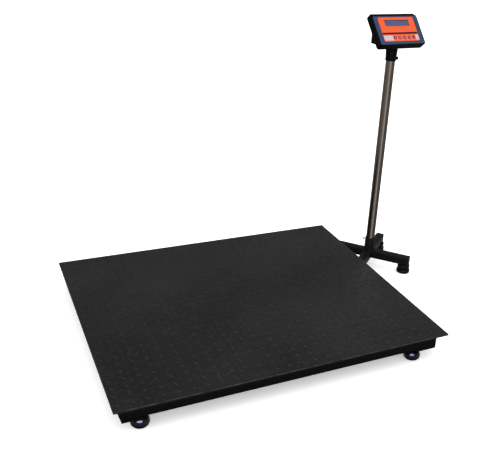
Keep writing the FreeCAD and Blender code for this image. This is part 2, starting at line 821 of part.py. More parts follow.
def make_wing_screw():
    outer = "(column_radius + running_clearance + socket_wall)"
    body = new_body("wing_screw_body")
    shank = sketch(body, "YZ", "column_radius + 4 * running_clearance")
    circle(shank, 0, 0, "wing_screw_radius")
    pad(body, shank, "socket_wall + wing_root")
    hub = sketch(body, "YZ", f"{outer} + wing_gap")
    circle(hub, 0, 0, "wing_hub_radius")
    pad(body, hub, "wing_hub_length")
    wings = sketch(body, "XY")
    root = f"{outer} + wing_root"
    tip = f"{outer} + wing_gap + wing_hub_length"
    polygon(wings, [(root, "-wing_hub_radius / 2"), (root, "wing_hub_radius / 2"),
                    (f"{tip} - wing_gap", "wing_span / 2"),
                    (f"{root} + wing_height", "wing_span / 2 - wing_gap"),
                    (tip, "wing_hub_radius * 0.6"), (tip, "-wing_hub_radius * 0.6"),
                    (f"{root} + wing_height", "wing_gap - wing_span / 2"),
                    (f"{tip} - wing_gap", "-wing_span / 2")])
    pad(body, wings, "wing_thickness", midplane=True)
    place(body, STAND_X, "stand_y", f"{ARM_TOP} + socket_height - wing_drop", "wing_turn; 0; 0")
    node("wing_screw", body)


def make_column():
    inner = "column_radius - column_wall"
    body = turned("column_tube_body", [
        (inner, 0), ("column_radius", 0), ("column_radius", "column_length"), (inner, "column_length")])
    place(body, STAND_X, "stand_y", ARM_TOP)
    node("column_tube", body)


def make_stand():
    make_cross()
    make_socket()
    for corner, turn in STAND_TURNS.items():
        make_glide(corner, turn)
    make_wing_screw()
    make_column()


# ---------------------------------------------------------------- head bracket

# The bracket's frame: X to the indicator's right, Y to its rear, on the column's axis.
BRACKET_FRAME = f"placement(vector({STAND_X}; stand_y; {BRACKET_BOTTOM}); rotation(heading; 0; 0))"


def make_bracket():
    """A collar over the column's top with a knuckle for the tilt bolt above it."""
    bore = "(column_radius + running_clearance)"
    body = turned("head_bracket_body", [
        (bore, 0), ("bracket_radius - fine_edge", 0), ("bracket_radius", "fine_edge"),
        ("bracket_top_radius", "bracket_top - bracket_edge"),
        ("bracket_top_radius - bracket_edge", "bracket_top"), (0, "bracket_top"), (0, "bracket_depth"),
        (bore, "bracket_depth")])
    knuckle = sketch(body, "YZ")
    base = "bracket_top - bracket_edge"
    corners = [("-knuckle_radius", base), ("knuckle_radius", base)]
    half_disc(knuckle, "pivot_height", "knuckle_radius", 0, corners)
    pad(body, knuckle, "knuckle_width", midplane=True)
    pin = sketch(body, "YZ")
    circle(pin, 0, "pivot_height", "tilt_bolt_radius + running_clearance")
    pocket(body, pin, midplane=True)
    knob_hole = sketch(body, "YZ")
    circle(knob_hole, 0, "knob_height", "knob_screw_radius + running_clearance")
    pocket(body, knob_hole, "bracket_top_radius + fine_edge", reversed_side=True)
    place(body, start=BRACKET_FRAME)
    node("head_bracket", body)


def half_disc(flat, centre_y, radius, start_angle, corners):
    """A half disc about (0, centre_y), closed through two corners on its flat side."""
    middle = FreeCAD.Vector(0, number(centre_y), 0)
    reach = number(radius)
    full = Part.Circle(middle, FreeCAD.Vector(0, 0, 1), reach)
    start = math.radians(start_angle)
    arc = Part.ArcOfCircle(full, start, start + math.pi)
    first, second = [FreeCAD.Vector(number(x), number(y), 0) for x, y in corners]
    flat.addGeometry(arc)
    flat.addGeometry(Part.LineSegment(arc.EndPoint, first))
    flat.addGeometry(Part.LineSegment(first, second))
    flat.addGeometry(Part.LineSegment(second, arc.StartPoint))
    for index in range(4):
        flat.addConstraint(Sketcher.Constraint("Coincident", index, 2, (index + 1) % 4, 1))
    fix_point(flat, 0, 3, 0, centre_y)
    size = flat.addConstraint(Sketcher.Constraint("Radius", 0, reach))
    flat.setExpression(f"Constraints[{size}]", formula(radius))
    level, text = ("DistanceY", centre_y) if start_angle == 0 else ("DistanceX", 0)
    for end in (1, 2):
        held = flat.addConstraint(Sketcher.Constraint(level, -1, 1, 0, end, number(text)))
        flat.setExpression(f"Constraints[{held}]", formula(text))
    fix_point(flat, 2, 1, *corners[0])
    fix_point(flat, 2, 2, *corners[1])


def make_clamp_knob():
    """The screw that clamps the bracket to the column, with a scalloped knob."""
    body = new_body("clamp_knob_body")
    shank = sketch(body, "YZ", "column_radius + 4 * running_clearance")
    circle(shank, 0, 0, "knob_screw_radius")
    gap = "(bracket_top_radius - column_radius + knob_gap)"
    pad(body, shank, f"{gap} + fine_edge")
    grip = sketch(body, "YZ", "bracket_top_radius + knob_gap")
    circle(grip, 0, 0, "knob_radius")
    pad(body, grip, "knob_length")
    scallop = sketch(body, "YZ", "bracket_top_radius + knob_gap")
    reach = "(knob_radius + knob_scallop_reach)"
    for angle in range(0, 360, 45):
        circle(scallop, f"{reach} * cos({angle})", f"{reach} * sin({angle})", "knob_scallop_radius")
    pocket(body, scallop, "knob_length", reversed_side=True)
    place(body, 0, 0, "knob_height", start=BRACKET_FRAME)
    node("clamp_knob", body)


# ---------------------------------------------------------------- indicator

# The pivot's frame, level at rest, and the frame on the indicator's face: X to the
# right along the face, Y up the face, Z out of it, with its origin at the face's middle.
PIVOT_FRAME = f"{BRACKET_FRAME} * placement(vector(0; 0; pivot_height); rotation(0; 0; 0))"
FACE_FRAME = (f"{PIVOT_FRAME} * placement(vector(0; -pivot_setback; pivot_drop); rotation(0; 0; 90 - tilt))"
              " * placement(vector(0; wedge_offset; case_depth + wedge_depth); rotation(0; 0; 0))")
CASE_TOP = "(case_height / 2 + case_crown)"
OVERLAY_LEFT = "(bezel_side - case_width / 2)"
OVERLAY_RIGHT = "(case_width / 2 - bezel_side)"
OVERLAY_BOTTOM = "(bezel_bottom - case_height / 2)"
OVERLAY_TOP = "(case_height / 2 - bezel_top)"
KEY_ROW = f"({OVERLAY_BOTTOM} + key_margin)"
WINDOW_MIDDLE = f"({OVERLAY_TOP} - window_drop)"


def make_yoke():
    """Two ears and a plate that hang the case on the knuckle."""
    body = new_body("tilt_yoke_body")
    flat = sketch(body, "YZ")
    corners = [("-yoke_end", "pivot_drop"), ("-yoke_end", "pivot_drop - yoke_thickness")]
    half_disc(flat, 0, "pivot_drop", -90, corners)
    pad(body, flat, "yoke_width", midplane=True)
    slot = sketch(body, "YZ")
    plate_bottom = "pivot_drop - yoke_thickness"
    polygon(slot, [("-2 * yoke_end", "-2 * pivot_drop"), ("2 * pivot_drop", "-2 * pivot_drop"),
                   ("2 * pivot_drop", "2 * pivot_drop"), ("-yoke_start", "2 * pivot_drop"),
                   ("-yoke_start", plate_bottom), ("-2 * yoke_end", plate_bottom)])
    pocket(body, slot, "knuckle_width + 2 * yoke_gap", midplane=True)
    pin = sketch(body, "YZ")
    circle(pin, 0, 0, "tilt_bolt_radius")
    pocket(body, pin, midplane=True)
    place(body, start=PIVOT_FRAME)
    node("tilt_yoke", body)


def make_tilt_bolt():
    length = "(yoke_width + tilt_bolt_reach)"
    shank = cylinder("tilt_bolt_shank", "tilt_bolt_radius", length)
    head = prism("tilt_bolt_head", "tilt_bolt_flats", "tilt_bolt_head")
    place(head, 0, 0, "-tilt_bolt_head")
    bolt = fuse("tilt_bolt_solid", [head, shank])
    place(bolt, "-yoke_width / 2", 0, 0, "0; 90; 0", start=PIVOT_FRAME)
    node("tilt_bolt", bolt)


def rounded_outline(body, inset, thickness, lift, corner, **options):
    """A rounded plate of the case's outline, drawn in by the inset."""
    flat = sketch(body, "XY", lift)
    half = f"(case_width / 2 - {inset})"
    rectangle(flat, f"-{half}", f"{inset} - case_height / 2", half, f"{CASE_TOP} - {inset}")
    pad(body, flat, thickness, **options)
    round_edges(body, corner, along("Z"))


def boss_places():
    for x_side in (-1, 1):
        for y in ("boss_inset - case_height / 2", "case_height / 2 - boss_inset"):
            yield f"{x_side} * (case_width / 2 - boss_inset)", y


def make_front_case():
    """The bezel half: a recess for the overlay, openings for window and keys."""
    body = new_body("front_case_body")
    rounded_outline(body, "0", "case_split", "-case_split", "case_corner")
    crown = sketch(body, "YZ")
    beyond = f"({CASE_TOP} + case_wall)"
    polygon(crown, [("case_height / 2", 0), ("case_height / 2", "case_wall"), (beyond, "case_wall"),
                    (beyond, "-case_crown_drop"), (CASE_TOP, "-case_crown_drop")])
    pocket(body, crown, midplane=True)
    hollow = sketch(body, "XY", "-case_split")
    half = "(case_width / 2 - case_wall)"
    rectangle(hollow, f"-{half}", "case_wall - case_height / 2", half, "case_height / 2 - case_wall")
    pocket(body, hollow, "case_split - case_wall", reversed_side=True)
    recess = sketch(body, "XY")
    gap = "overlay_gap"
    rectangle(recess, f"{OVERLAY_LEFT} - {gap}", f"{OVERLAY_BOTTOM} - {gap}",
              f"{OVERLAY_RIGHT} + {gap}", f"{OVERLAY_TOP} + {gap}")
    pocket(body, recess, "overlay_thickness")
    openings = sketch(body, "XY")
    window(openings, "window_ledge")
    for x in key_places():
        circle(openings, x, KEY_ROW, "key_radius + key_clearance")
    pocket(body, openings, "2 * case_wall")
    bosses = sketch(body, "XY", "-case_split")
    for x, y in boss_places():
        circle(bosses, x, y, "boss_radius")
    pad(body, bosses, "case_split - case_wall")
    screw_holes = sketch(body, "XY", "-case_split")
    for x, y in boss_places():
        circle(screw_holes, x, y, "case_screw_radius")
    pocket(body, screw_holes, "case_split - 2 * case_wall", reversed_side=True)
    place(body, start=FACE_FRAME)
    node("front_case", body)


def window(flat, inset):
    half = f"(window_width / 2 - {inset})"
    rise = f"(window_height / 2 - {inset})"
    rectangle(flat, f"-{half}", f"{WINDOW_MIDDLE} - {rise}", half, f"{WINDOW_MIDDLE} + {rise}")


def key_places():
    for index in range(5):
        yield f"(key_first + {index} * key_pitch)"


# The wedge under the case's back: level below and upright behind when at rest.
WEDGE_TOP = "(wedge_depth * cos(tilt) / sin(tilt) - wedge_offset)"
WEDGE_BOTTOM = "(-wedge_offset - wedge_depth * sin(tilt) / cos(tilt))"
SOCKET_ROW = f"(({WEDGE_BOTTOM} - case_height / 2) / 2)"


def make_rear_case():
    body = new_body("rear_case_body")
    rounded_outline(body, "0", "case_depth - case_split", "-case_depth", "case_corner")
    wedge = sketch(body, "YZ")
    polygon(wedge, [(WEDGE_TOP, "-case_depth"), (WEDGE_BOTTOM, "-case_depth"),
                    ("-wedge_offset", "-case_depth - wedge_depth")])
    pad(body, wedge, "case_width", midplane=True)
    hollow = sketch(body, "XY", "-case_split")
    half = "(case_width / 2 - case_wall)"
    rectangle(hollow, f"-{half}", "case_wall - case_height / 2", half, f"{CASE_TOP} - 2 * case_wall")
    pocket(body, hollow, "case_depth - case_split - case_wall")
    wedge_hollow = sketch(body, "YZ")
    floor = "case_wall - case_depth"
    polygon(wedge_hollow, [(f"{WEDGE_TOP} - 2 * case_wall", floor),
                           (f"{WEDGE_BOTTOM} + 2 * case_wall", floor),
                           ("-wedge_offset", "-case_depth - wedge_depth + 2 * case_wall")])
    pocket(body, wedge_hollow, "case_width - 2 * case_wall", midplane=True)
    bosses = sketch(body, "XY", "-case_depth")
    for x, y in boss_places():
        circle(bosses, x, y, "boss_radius")
    pad(body, bosses, "case_depth - case_split")
    screw_holes = sketch(body, "XY", "-case_depth")
    for x, y in boss_places():
        circle(screw_holes, x, y, "case_screw_radius")
    pocket(body, screw_holes, "case_depth - case_split", reversed_side=True)
    ports = sketch(body, "XY", "-case_depth")
    for side in (-1, 1):
        circle(ports, f"{side} * socket_spacing / 2", SOCKET_ROW, "rear_socket_radius - rear_socket_step")
    pocket(body, ports, "case_wall", reversed_side=True)
    place(body, start=FACE_FRAME)
    node("rear_case", body)


def make_rear_sockets():
    """The load-cell and power connectors on the lower back of the case."""
    sockets = []
    step = "rear_socket_step"
    for side in (-1, 1):
        name = f"rear_socket_{side + 2}"
        flange = cylinder(f"{name}_flange", "rear_socket_radius", "rear_socket_flange")
        shell = cylinder(f"{name}_shell", f"rear_socket_radius - 2 * {step}", "rear_socket_length")
        depth = "rear_socket_length - rear_socket_flange"
        hollow = cylinder(f"{name}_hollow", f"rear_socket_radius - 3 * {step}", depth)
        place(hollow, 0, 0, "rear_socket_flange")
        tail = cylinder(f"{name}_tail", f"rear_socket_radius - {step}", "rear_socket_tail")
        place(tail, 0, 0, "-rear_socket_tail")
        socket = cut(name, fuse(f"{name}_solid", [flange, shell, tail]), hollow)
        place(socket, f"{side} * socket_spacing / 2", SOCKET_ROW, "-case_depth", "0; 180; 0",
              start=FACE_FRAME)
        sockets.append(socket)
    group("rear_sockets", sockets)


def make_panel():
    overlay = new_body("overlay_panel_body")
    face = sketch(overlay, "XY", "-overlay_thickness")
    rectangle(face, OVERLAY_LEFT, OVERLAY_BOTTOM, OVERLAY_RIGHT, OVERLAY_TOP)
    pad(overlay, face, "overlay_thickness")
    round_edges(overlay, "overlay_corner", along("Z"))
    openings = sketch(overlay, "XY")
    window(openings, "0")
    for x in key_places():
        circle(openings, x, KEY_ROW, "key_radius + key_clearance")
    pocket(overlay, openings, midplane=True)
    place(overlay, start=FACE_FRAME)
    node("overlay_panel", overlay)

    glass = new_body("display_window_body")
    pane = sketch(glass, "XY", "-overlay_thickness")
    window(pane, "overlay_gap / 2")
    pad(glass, pane, "overlay_thickness - overlay_gap")
    place(glass, start=FACE_FRAME)
    node("display_window", glass)

    display = new_body("display_module_body")
    block_face = sketch(display, "XY", "-case_wall - display_thickness - overlay_gap")
    window(block_face, "-display_margin")
    pad(display, block_face, "display_thickness")
    place(display, start=FACE_FRAME)
    node("display_module", display)


def make_board_and_battery():
    width = "(case_width - 2 * main_board_margin)"
    height = "(case_height - 2 * main_board_margin)"
    board = block("main_board_block", width, height, "board_thickness")
    place(board, f"-{width} / 2", f"-{height} / 2", "-main_board_depth - board_thickness", start=FACE_FRAME)
    node("main_board", board)
    battery = block("battery_block", "battery_length", "battery_width", "battery_thickness")
    place(battery, "-battery_length / 2", "-wedge_offset - battery_width / 2",
          "-case_depth - fine_edge", start=FACE_FRAME)
    node("battery_pack", battery)


def make_case_screws():
    screws = []
    for index, (x, y) in enumerate(boss_places()):
        head = cylinder(f"case_screw_head_{index}", "case_screw_head", "case_screw_head_height")
        shank = cylinder(f"case_screw_shank_{index}", "case_screw_radius", "case_depth - 3 * case_wall")
        place(shank, 0, 0, "case_screw_head_height")
        screw = fuse(f"case_screw_{index}", [head, shank])
        place(screw, x, y, "-case_depth - case_screw_head_height", start=FACE_FRAME)
        screws.append(screw)
    group("case_screws", screws)


def make_key(index, x):
    """A key that stands through the overlay, held behind it by its flange."""
    flange_top = "(-case_wall - overlay_gap)"
    flange_bottom = f"({flange_top} - key_flange_height)"
    tail = f"({flange_bottom} - key_stem_length)"
    wide = "(key_radius + key_flange)"
    body = turned(f"key_{index}_body", [
        (0, tail), ("key_stem_radius", tail), ("key_stem_radius", flange_bottom), (wide, flange_bottom),
        (wide, flange_top), ("key_radius", flange_top), ("key_radius", "key_rise - key_edge"),
        ("key_radius - key_edge", "key_rise"), (0, "key_rise")])
    place(body, x, KEY_ROW, 0, start=FACE_FRAME)
    node(f"key_{index}", body)


def make_indicator():
    make_yoke()
    make_tilt_bolt()
    make_front_case()
    make_rear_case()
    make_rear_sockets()
    make_panel()
    make_board_and_battery()
    make_case_screws()
    for index, x in enumerate(key_places(), start=1):
        make_key(index, x)


def export_nodes():
    """Check every object and write each sub-part's shape."""
    document.recompute()
    for item in document.Objects:
        if "Invalid" in item.State or "Error" in item.State:
            raise RuntimeError(f"{item.Name} ({item.Label}) failed: {item.State}")
    for item in NODES:
        if item.Shape.isNull() or not item.Shape.isValid():
            raise RuntimeError(f"{item.Label} has no valid shape")
    os.makedirs("parts", exist_ok=True)
    for item in NODES:
        item.Shape.exportStep(os.path.join("parts", f"{item.Label}.step"))
    print(len(NODES), "nodes written")


make_platform()
make_stand()
make_bracket()
make_clamp_knob()
make_indicator()
export_nodes()
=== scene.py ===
import json
import math
import random

import bmesh
import bpy
from mathutils import Matrix, Vector


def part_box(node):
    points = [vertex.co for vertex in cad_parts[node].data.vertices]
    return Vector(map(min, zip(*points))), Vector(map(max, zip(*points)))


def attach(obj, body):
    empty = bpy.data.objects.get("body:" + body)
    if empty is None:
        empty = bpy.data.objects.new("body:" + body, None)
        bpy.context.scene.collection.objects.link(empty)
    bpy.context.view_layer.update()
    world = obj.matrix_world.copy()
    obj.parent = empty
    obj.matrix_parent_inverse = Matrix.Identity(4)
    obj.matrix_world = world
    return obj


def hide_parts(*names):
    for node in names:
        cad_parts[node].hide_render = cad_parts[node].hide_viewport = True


# The looks of a platform shipping scale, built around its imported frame. Lengths are
# in metres; MM turns a size in millimetres into metres.
MM = 0.001
CORNERS = ("front_left", "front_right", "rear_left", "rear_right")

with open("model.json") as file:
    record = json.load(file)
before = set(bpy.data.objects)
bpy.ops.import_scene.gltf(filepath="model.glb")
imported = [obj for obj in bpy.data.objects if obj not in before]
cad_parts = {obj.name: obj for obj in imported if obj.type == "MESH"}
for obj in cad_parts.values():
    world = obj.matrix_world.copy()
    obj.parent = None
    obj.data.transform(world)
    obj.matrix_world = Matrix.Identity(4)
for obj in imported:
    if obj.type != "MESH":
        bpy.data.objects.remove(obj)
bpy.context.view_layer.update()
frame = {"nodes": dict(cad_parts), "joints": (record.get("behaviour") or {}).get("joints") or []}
joints = {joint["name"]: joint for joint in frame["joints"]}


def box_of(node):
    low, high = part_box(node)
    return Vector(low), Vector(high)


def middle_of(node):
    low, high = box_of(node)
    return (low + high) / 2


# ------------------------------------------------------------------ frames

def axes(x_axis, y_axis, z_axis, origin):
    """A placement whose own axes point along the three given directions."""
    turn = Matrix((x_axis, y_axis, z_axis)).transposed().to_4x4()
    return Matrix.Translation(origin) @ turn


UP = Vector((0, 0, 1))
DECK_LOW, DECK_HIGH = box_of("deck_plate")
DECK_MIDDLE = (DECK_LOW + DECK_HIGH) / 2
COLUMN_LOW, COLUMN_HIGH = box_of("column_tube")
COLUMN_MIDDLE = (COLUMN_LOW + COLUMN_HIGH) / 2

# The indicator's face: RIGHT along it, FACE_UP up it and OUT of it.
RIGHT = Vector(joints["indicator_tilt"]["axis"]).normalized()
OUT = -Vector(joints["key_1_press"]["axis"]).normalized()
FACE_UP = OUT.cross(RIGHT)
BEZEL_SIDE = 23.75 * MM
BEZEL_BOTTOM = 15.5 * MM
BEZEL_TOP = 8 * MM
OVERLAY_THICKNESS = 1 * MM
FACE_MIDDLE = (middle_of("overlay_panel") + OUT * OVERLAY_THICKNESS / 2
               - FACE_UP * (BEZEL_BOTTOM - BEZEL_TOP) / 2)
FACE = axes(RIGHT, FACE_UP, OUT, FACE_MIDDLE)

# The bracket on the column's top, level: RIGHT, then to its rear, then up.
BRACKET_LOW, BRACKET_HIGH = box_of("head_bracket")
BRACKET = axes(RIGHT, UP.cross(RIGHT), UP, Vector((COLUMN_MIDDLE.x, COLUMN_MIDDLE.y, BRACKET_LOW.z)))
PIVOT_HEIGHT = joints["indicator_tilt"]["pos_m"][2] - BRACKET_LOW.z
PIVOT = BRACKET @ Matrix.Translation((0, 0, PIVOT_HEIGHT))


# ------------------------------------------------------------------ materials

def linear(red, green, blue):
    """Linear colour of a display colour from 0 to 255."""
    def one(value):
        share = value / 255
        return share / 12.92 if share <= 0.04045 else ((share + 0.055) / 1.055) ** 2.4
    return (one(red), one(green), one(blue), 1)


def scaled(colour, factor):
    return (*[min(1, channel * factor) for channel in colour[:3]], 1)


def spread(tree, source, start, end, low, high):
    """A value mapped from start..end to low..high."""
    node = tree.nodes.new("ShaderNodeMapRange")
    for socket, value in (("From Min", start), ("From Max", end), ("To Min", low), ("To Max", high)):
        node.inputs[socket].default_value = value
    tree.links.new(source, node.inputs["Value"])
    return node.outputs["Result"]


class Shader:
    """A Principled material with short calls for its procedural parts."""

    def __init__(self, name, **settings):
        self.material = bpy.data.materials.new(name)
        self.material.use_nodes = True
        self.tree = self.material.node_tree
        self.main = self.tree.nodes["Principled BSDF"]
        for socket, value in settings.items():
            self.main.inputs[socket.replace("_", " ")].default_value = value
        self.place = self.add("ShaderNodeTexCoord").outputs["Object"]

    def add(self, kind, **properties):
        node = self.tree.nodes.new(kind)
        for key, value in properties.items():
            setattr(node, key, value)
        return node

    def link(self, start, end):
        self.tree.links.new(start, end)

    def noise(self, scale, detail=4, stretch=(1, 1, 1), roughness=0.55):
        mapping = self.add("ShaderNodeMapping")
        mapping.inputs["Scale"].default_value = stretch
        self.link(self.place, mapping.inputs["Vector"])
        node = self.add("ShaderNodeTexNoise")
        node.inputs["Scale"].default_value = scale
        node.inputs["Detail"].default_value = detail
        node.inputs["Roughness"].default_value = roughness
        self.link(mapping.outputs["Vector"], node.inputs["Vector"])
        return node.outputs["Fac"]

    def ramp(self, source, stops):
        node = self.add("ShaderNodeValToRGB")
        while len(node.color_ramp.elements) < len(stops):
            node.color_ramp.elements.new(1.0)
        for element, (position, colour) in zip(node.color_ramp.elements, stops):
            element.position = position
            element.color = colour if len(colour) == 4 else (*colour, 1)
        self.link(source, node.inputs["Fac"])
        return node.outputs["Color"]

    def grey(self, source, low, high, from_low=0.3, from_high=0.7):
        return spread(self.tree, source, from_low, from_high, low, high)

    def mix(self, share, first, second, mode="MIX"):
        node = self.add("ShaderNodeMix", data_type="RGBA", blend_type=mode)
        for socket, value in ((node.inputs[0], share), (node.inputs[6], first), (node.inputs[7], second)):
            if isinstance(value, bpy.types.NodeSocket):
                self.link(value, socket)
            else:
                socket.default_value = value
        return node.outputs[2]

    def colour(self, source):
        self.link(source, self.main.inputs["Base Color"])

    def tint(self, source, first, second, start=0.3, end=0.7):
        self.colour(self.ramp(source, [(start, first), (end, second)]))

    def rough(self, source):
        self.link(source, self.main.inputs["Roughness"])

    def bump(self, source, strength, distance):
        node = self.add("ShaderNodeBump")
        node.inputs["Strength"].default_value = strength
        node.inputs["Distance"].default_value = distance
        if self.main.inputs["Normal"].is_linked:
            self.link(self.main.inputs["Normal"].links[0].from_socket, node.inputs["Normal"])
        self.link(source, node.inputs["Height"])
        self.link(node.outputs["Normal"], self.main.inputs["Normal"])


def painted(name, colour, roughness=0.42, grain=900, mottle=0.12, specular=0.35):
    """Sprayed paint: orange-peel texture, faint mottling and uneven gloss."""
    shader = Shader(name, Specular_IOR_Level=specular)
    cloud = shader.noise(9, 5)
    shader.tint(cloud, scaled(colour, 1 - mottle), scaled(colour, 1 + mottle))
    shader.rough(shader.grey(shader.noise(38, 6), roughness - 0.06, roughness + 0.09))
    shader.bump(shader.noise(grain, 3), 0.12, 0.0004)
    return shader


def moulded(name, colour, roughness=0.5, grain=2600, depth=0.3, specular=0.4, mottle=0.06):
    """Moulded plastic with a fine spark-eroded grain."""
    shader = Shader(name, Specular_IOR_Level=specular)
    cloud = shader.noise(30, 4)
    shader.tint(cloud, scaled(colour, 1 - mottle), scaled(colour, 1 + mottle))
    shader.rough(shader.grey(shader.noise(180, 4), roughness - 0.05, roughness + 0.06))
    shader.bump(shader.noise(grain, 2), depth, 0.00012)
    return shader


def metal(name, colour, roughness=0.3, brushing=(1, 1, 1), scale=600, depth=0.05):
    """Bare metal with a directional or cloudy finish."""
    shader = Shader(name, Metallic=1.0)
    cloud = shader.noise(24, 5)
    shader.tint(cloud, scaled(colour, 0.92), scaled(colour, 1.06))
    grain = shader.noise(scale, 4, stretch=brushing)
    shader.rough(shader.grey(grain, roughness * 0.8, roughness * 1.3))
    shader.bump(grain, depth, 0.0001)
    return shader


def axis_part(shader, axis):
    node = shader.add("ShaderNodeSeparateXYZ")
    shader.link(shader.place, node.inputs["Vector"])
    return node.outputs[axis]


def deck_paint():
    """Black paint on tread plate, with a painted highlight: the lugs' crowns lighter grey in patches."""
    shader = Shader("deck_paint", Specular_IOR_Level=0.22)
    cloud = shader.noise(2.2, 6)
    dust = shader.noise(60, 8, roughness=0.7)
    base = shader.ramp(cloud, [(0.3, linear(20, 19, 19)), (0.7, linear(33, 32, 32))])
    dusted = shader.mix(shader.grey(dust, 0.0, 0.6, 0.54, 0.75), base, linear(50, 48, 47))
    # Painted highlight: lighter grey on the lugs' crowns, in patches.
    height = axis_part(shader, "Z")
    crown = shader.grey(height, 0, 1, DECK_HIGH.z + 0.7 * MM, DECK_HIGH.z + 1.4 * MM)
    crown_highlight_patches = shader.grey(shader.noise(14, 6), 0.1, 0.6, 0.4, 0.65)
    painted_crown_highlight = shader.add("ShaderNodeMath", operation="MULTIPLY")
    shader.link(crown, painted_crown_highlight.inputs[0])
    shader.link(crown_highlight_patches, painted_crown_highlight.inputs[1])
    shader.colour(shader.mix(painted_crown_highlight.outputs[0], dusted, linear(42, 40, 40)))
    shader.rough(shader.grey(shader.noise(45, 6), 0.4, 0.58))
    shader.bump(shader.noise(700, 3), 0.14, 0.0004)
    return shader.material


# Light and dark bands painted along the tube, in place of a room's reflections: (share of
# the turn about the tube, grey, warmth).
COLUMN_BANDS = (
    (0.0, 0.2, 1.4), (0.06, 0.15, 1.2), (0.11, 0.27, 1.0), (0.155, 0.28, 0.9), (0.168, 0.68, 0.6),
    (0.192, 0.72, 0.5), (0.212, 0.22, 0.8), (0.255, 0.1, 1.0), (0.345, 0.11, 1.0), (0.42, 0.2, 0.8),
    (0.5, 0.3, 0.6), (0.56, 0.55, 0.5), (0.61, 0.18, 0.8), (0.68, 0.1, 1.0), (0.76, 0.3, 0.8),
    (0.81, 0.55, 0.5), (0.86, 0.18, 1.0), (0.93, 0.15, 1.2), (1.0, 0.2, 1.4))


def column_chrome():
    """Polished plating with faint drawing lines along the tube; its reflections are painted on as light and
    dark bands round it.
    """
    shader = Shader("column_chrome", Metallic=1.0)
    normal = shader.add("ShaderNodeTexCoord").outputs["Normal"]
    parts = shader.add("ShaderNodeSeparateXYZ")
    shader.link(normal, parts.inputs["Vector"])
    turn = shader.add("ShaderNodeMath", operation="ARCTAN2")
    shader.link(parts.outputs["Y"], turn.inputs[0])
    shader.link(parts.outputs["X"], turn.inputs[1])
    share = shader.grey(turn.outputs[0], 0, 1, -math.pi, math.pi)
    # Painted reflections: light and dark bands set by the turn about the tube.
    reflection_bands = shader.ramp(share, [(place, (grey, grey * (1 - 0.17 * warmth), grey * (1 - 0.31 * warmth)))
                                for place, grey, warmth in COLUMN_BANDS])
    clouded = shader.grey(shader.noise(18, 4), 0.9, 1.1)
    shader.colour(shader.mix(1.0, reflection_bands, clouded, "MULTIPLY"))
    grain = shader.noise(900, 4, stretch=(1, 1, 0.02))
    shader.rough(shader.grey(grain, 0.1, 0.2))
    shader.bump(grain, 0.03, 0.0001)
    return shader.material


def foot_finish():
    """Blue-black polished plating."""
    shader = Shader("foot_finish", Metallic=1.0)
    shader.tint(shader.noise(50, 4), linear(42, 43, 52), linear(56, 58, 70))
    shader.rough(shader.grey(shader.noise(220, 5), 0.17, 0.27))
    shader.bump(shader.noise(900, 2), 0.05, 0.0002)
    return shader.material


def painted_edge_highlight():
    """A painted highlight along the plate's top edge, pale in patches."""
    shader = Shader("painted_edge_highlight", Specular_IOR_Level=0.12)
    edge_highlight_patches = shader.noise(22, 6)
    # Painted highlight: pale patches along the plate's top edge.
    shader.tint(edge_highlight_patches, linear(24, 24, 26), linear(72, 77, 80), 0.35, 0.65)
    shader.rough(shader.grey(shader.noise(300, 4), 0.35, 0.5))
    shader.bump(shader.noise(900, 3), 0.1, 0.0002)
    return shader.material


def glass_pane():
    """A see-through window with a faint blue tint and a soft gloss."""
    shader = Shader("window_pane", Alpha=0.1)
    shader.rough(shader.grey(shader.noise(60, 3), 0.02, 0.07))
    shader.tint(shader.noise(20, 2), linear(50, 66, 110), linear(58, 74, 120))
    return shader.material


def board_green():
    """Solder mask with a faint tracery of copper under it."""
    shader = Shader("board_green", Specular_IOR_Level=0.5, Coat_Weight=0.3)
    tracks = shader.add("ShaderNodeTexVoronoi", feature="DISTANCE_TO_EDGE")
    tracks.inputs["Scale"].default_value = 260
    shader.link(shader.place, tracks.inputs["Vector"])
    shader.tint(tracks.outputs["Distance"], linear(40, 120, 70), linear(14, 74, 42), 0.04, 0.12)
    shader.rough(shader.grey(shader.noise(90, 4), 0.3, 0.45))
    return shader.material


def overlay_film(name, colour, roughness=0.34):
    """Printed polycarbonate film: a very fine velvet grain under a soft gloss."""
    shader = Shader(name, Specular_IOR_Level=0.45, Coat_Weight=0.15, Coat_Roughness=0.2)
    shader.tint(shader.noise(26, 4), scaled(colour, 0.97), scaled(colour, 1.03))
    shader.rough(shader.grey(shader.noise(400, 3), roughness - 0.05, roughness + 0.06))
    shader.bump(shader.noise(3200, 2), 0.12, 0.00008)
    return shader.material


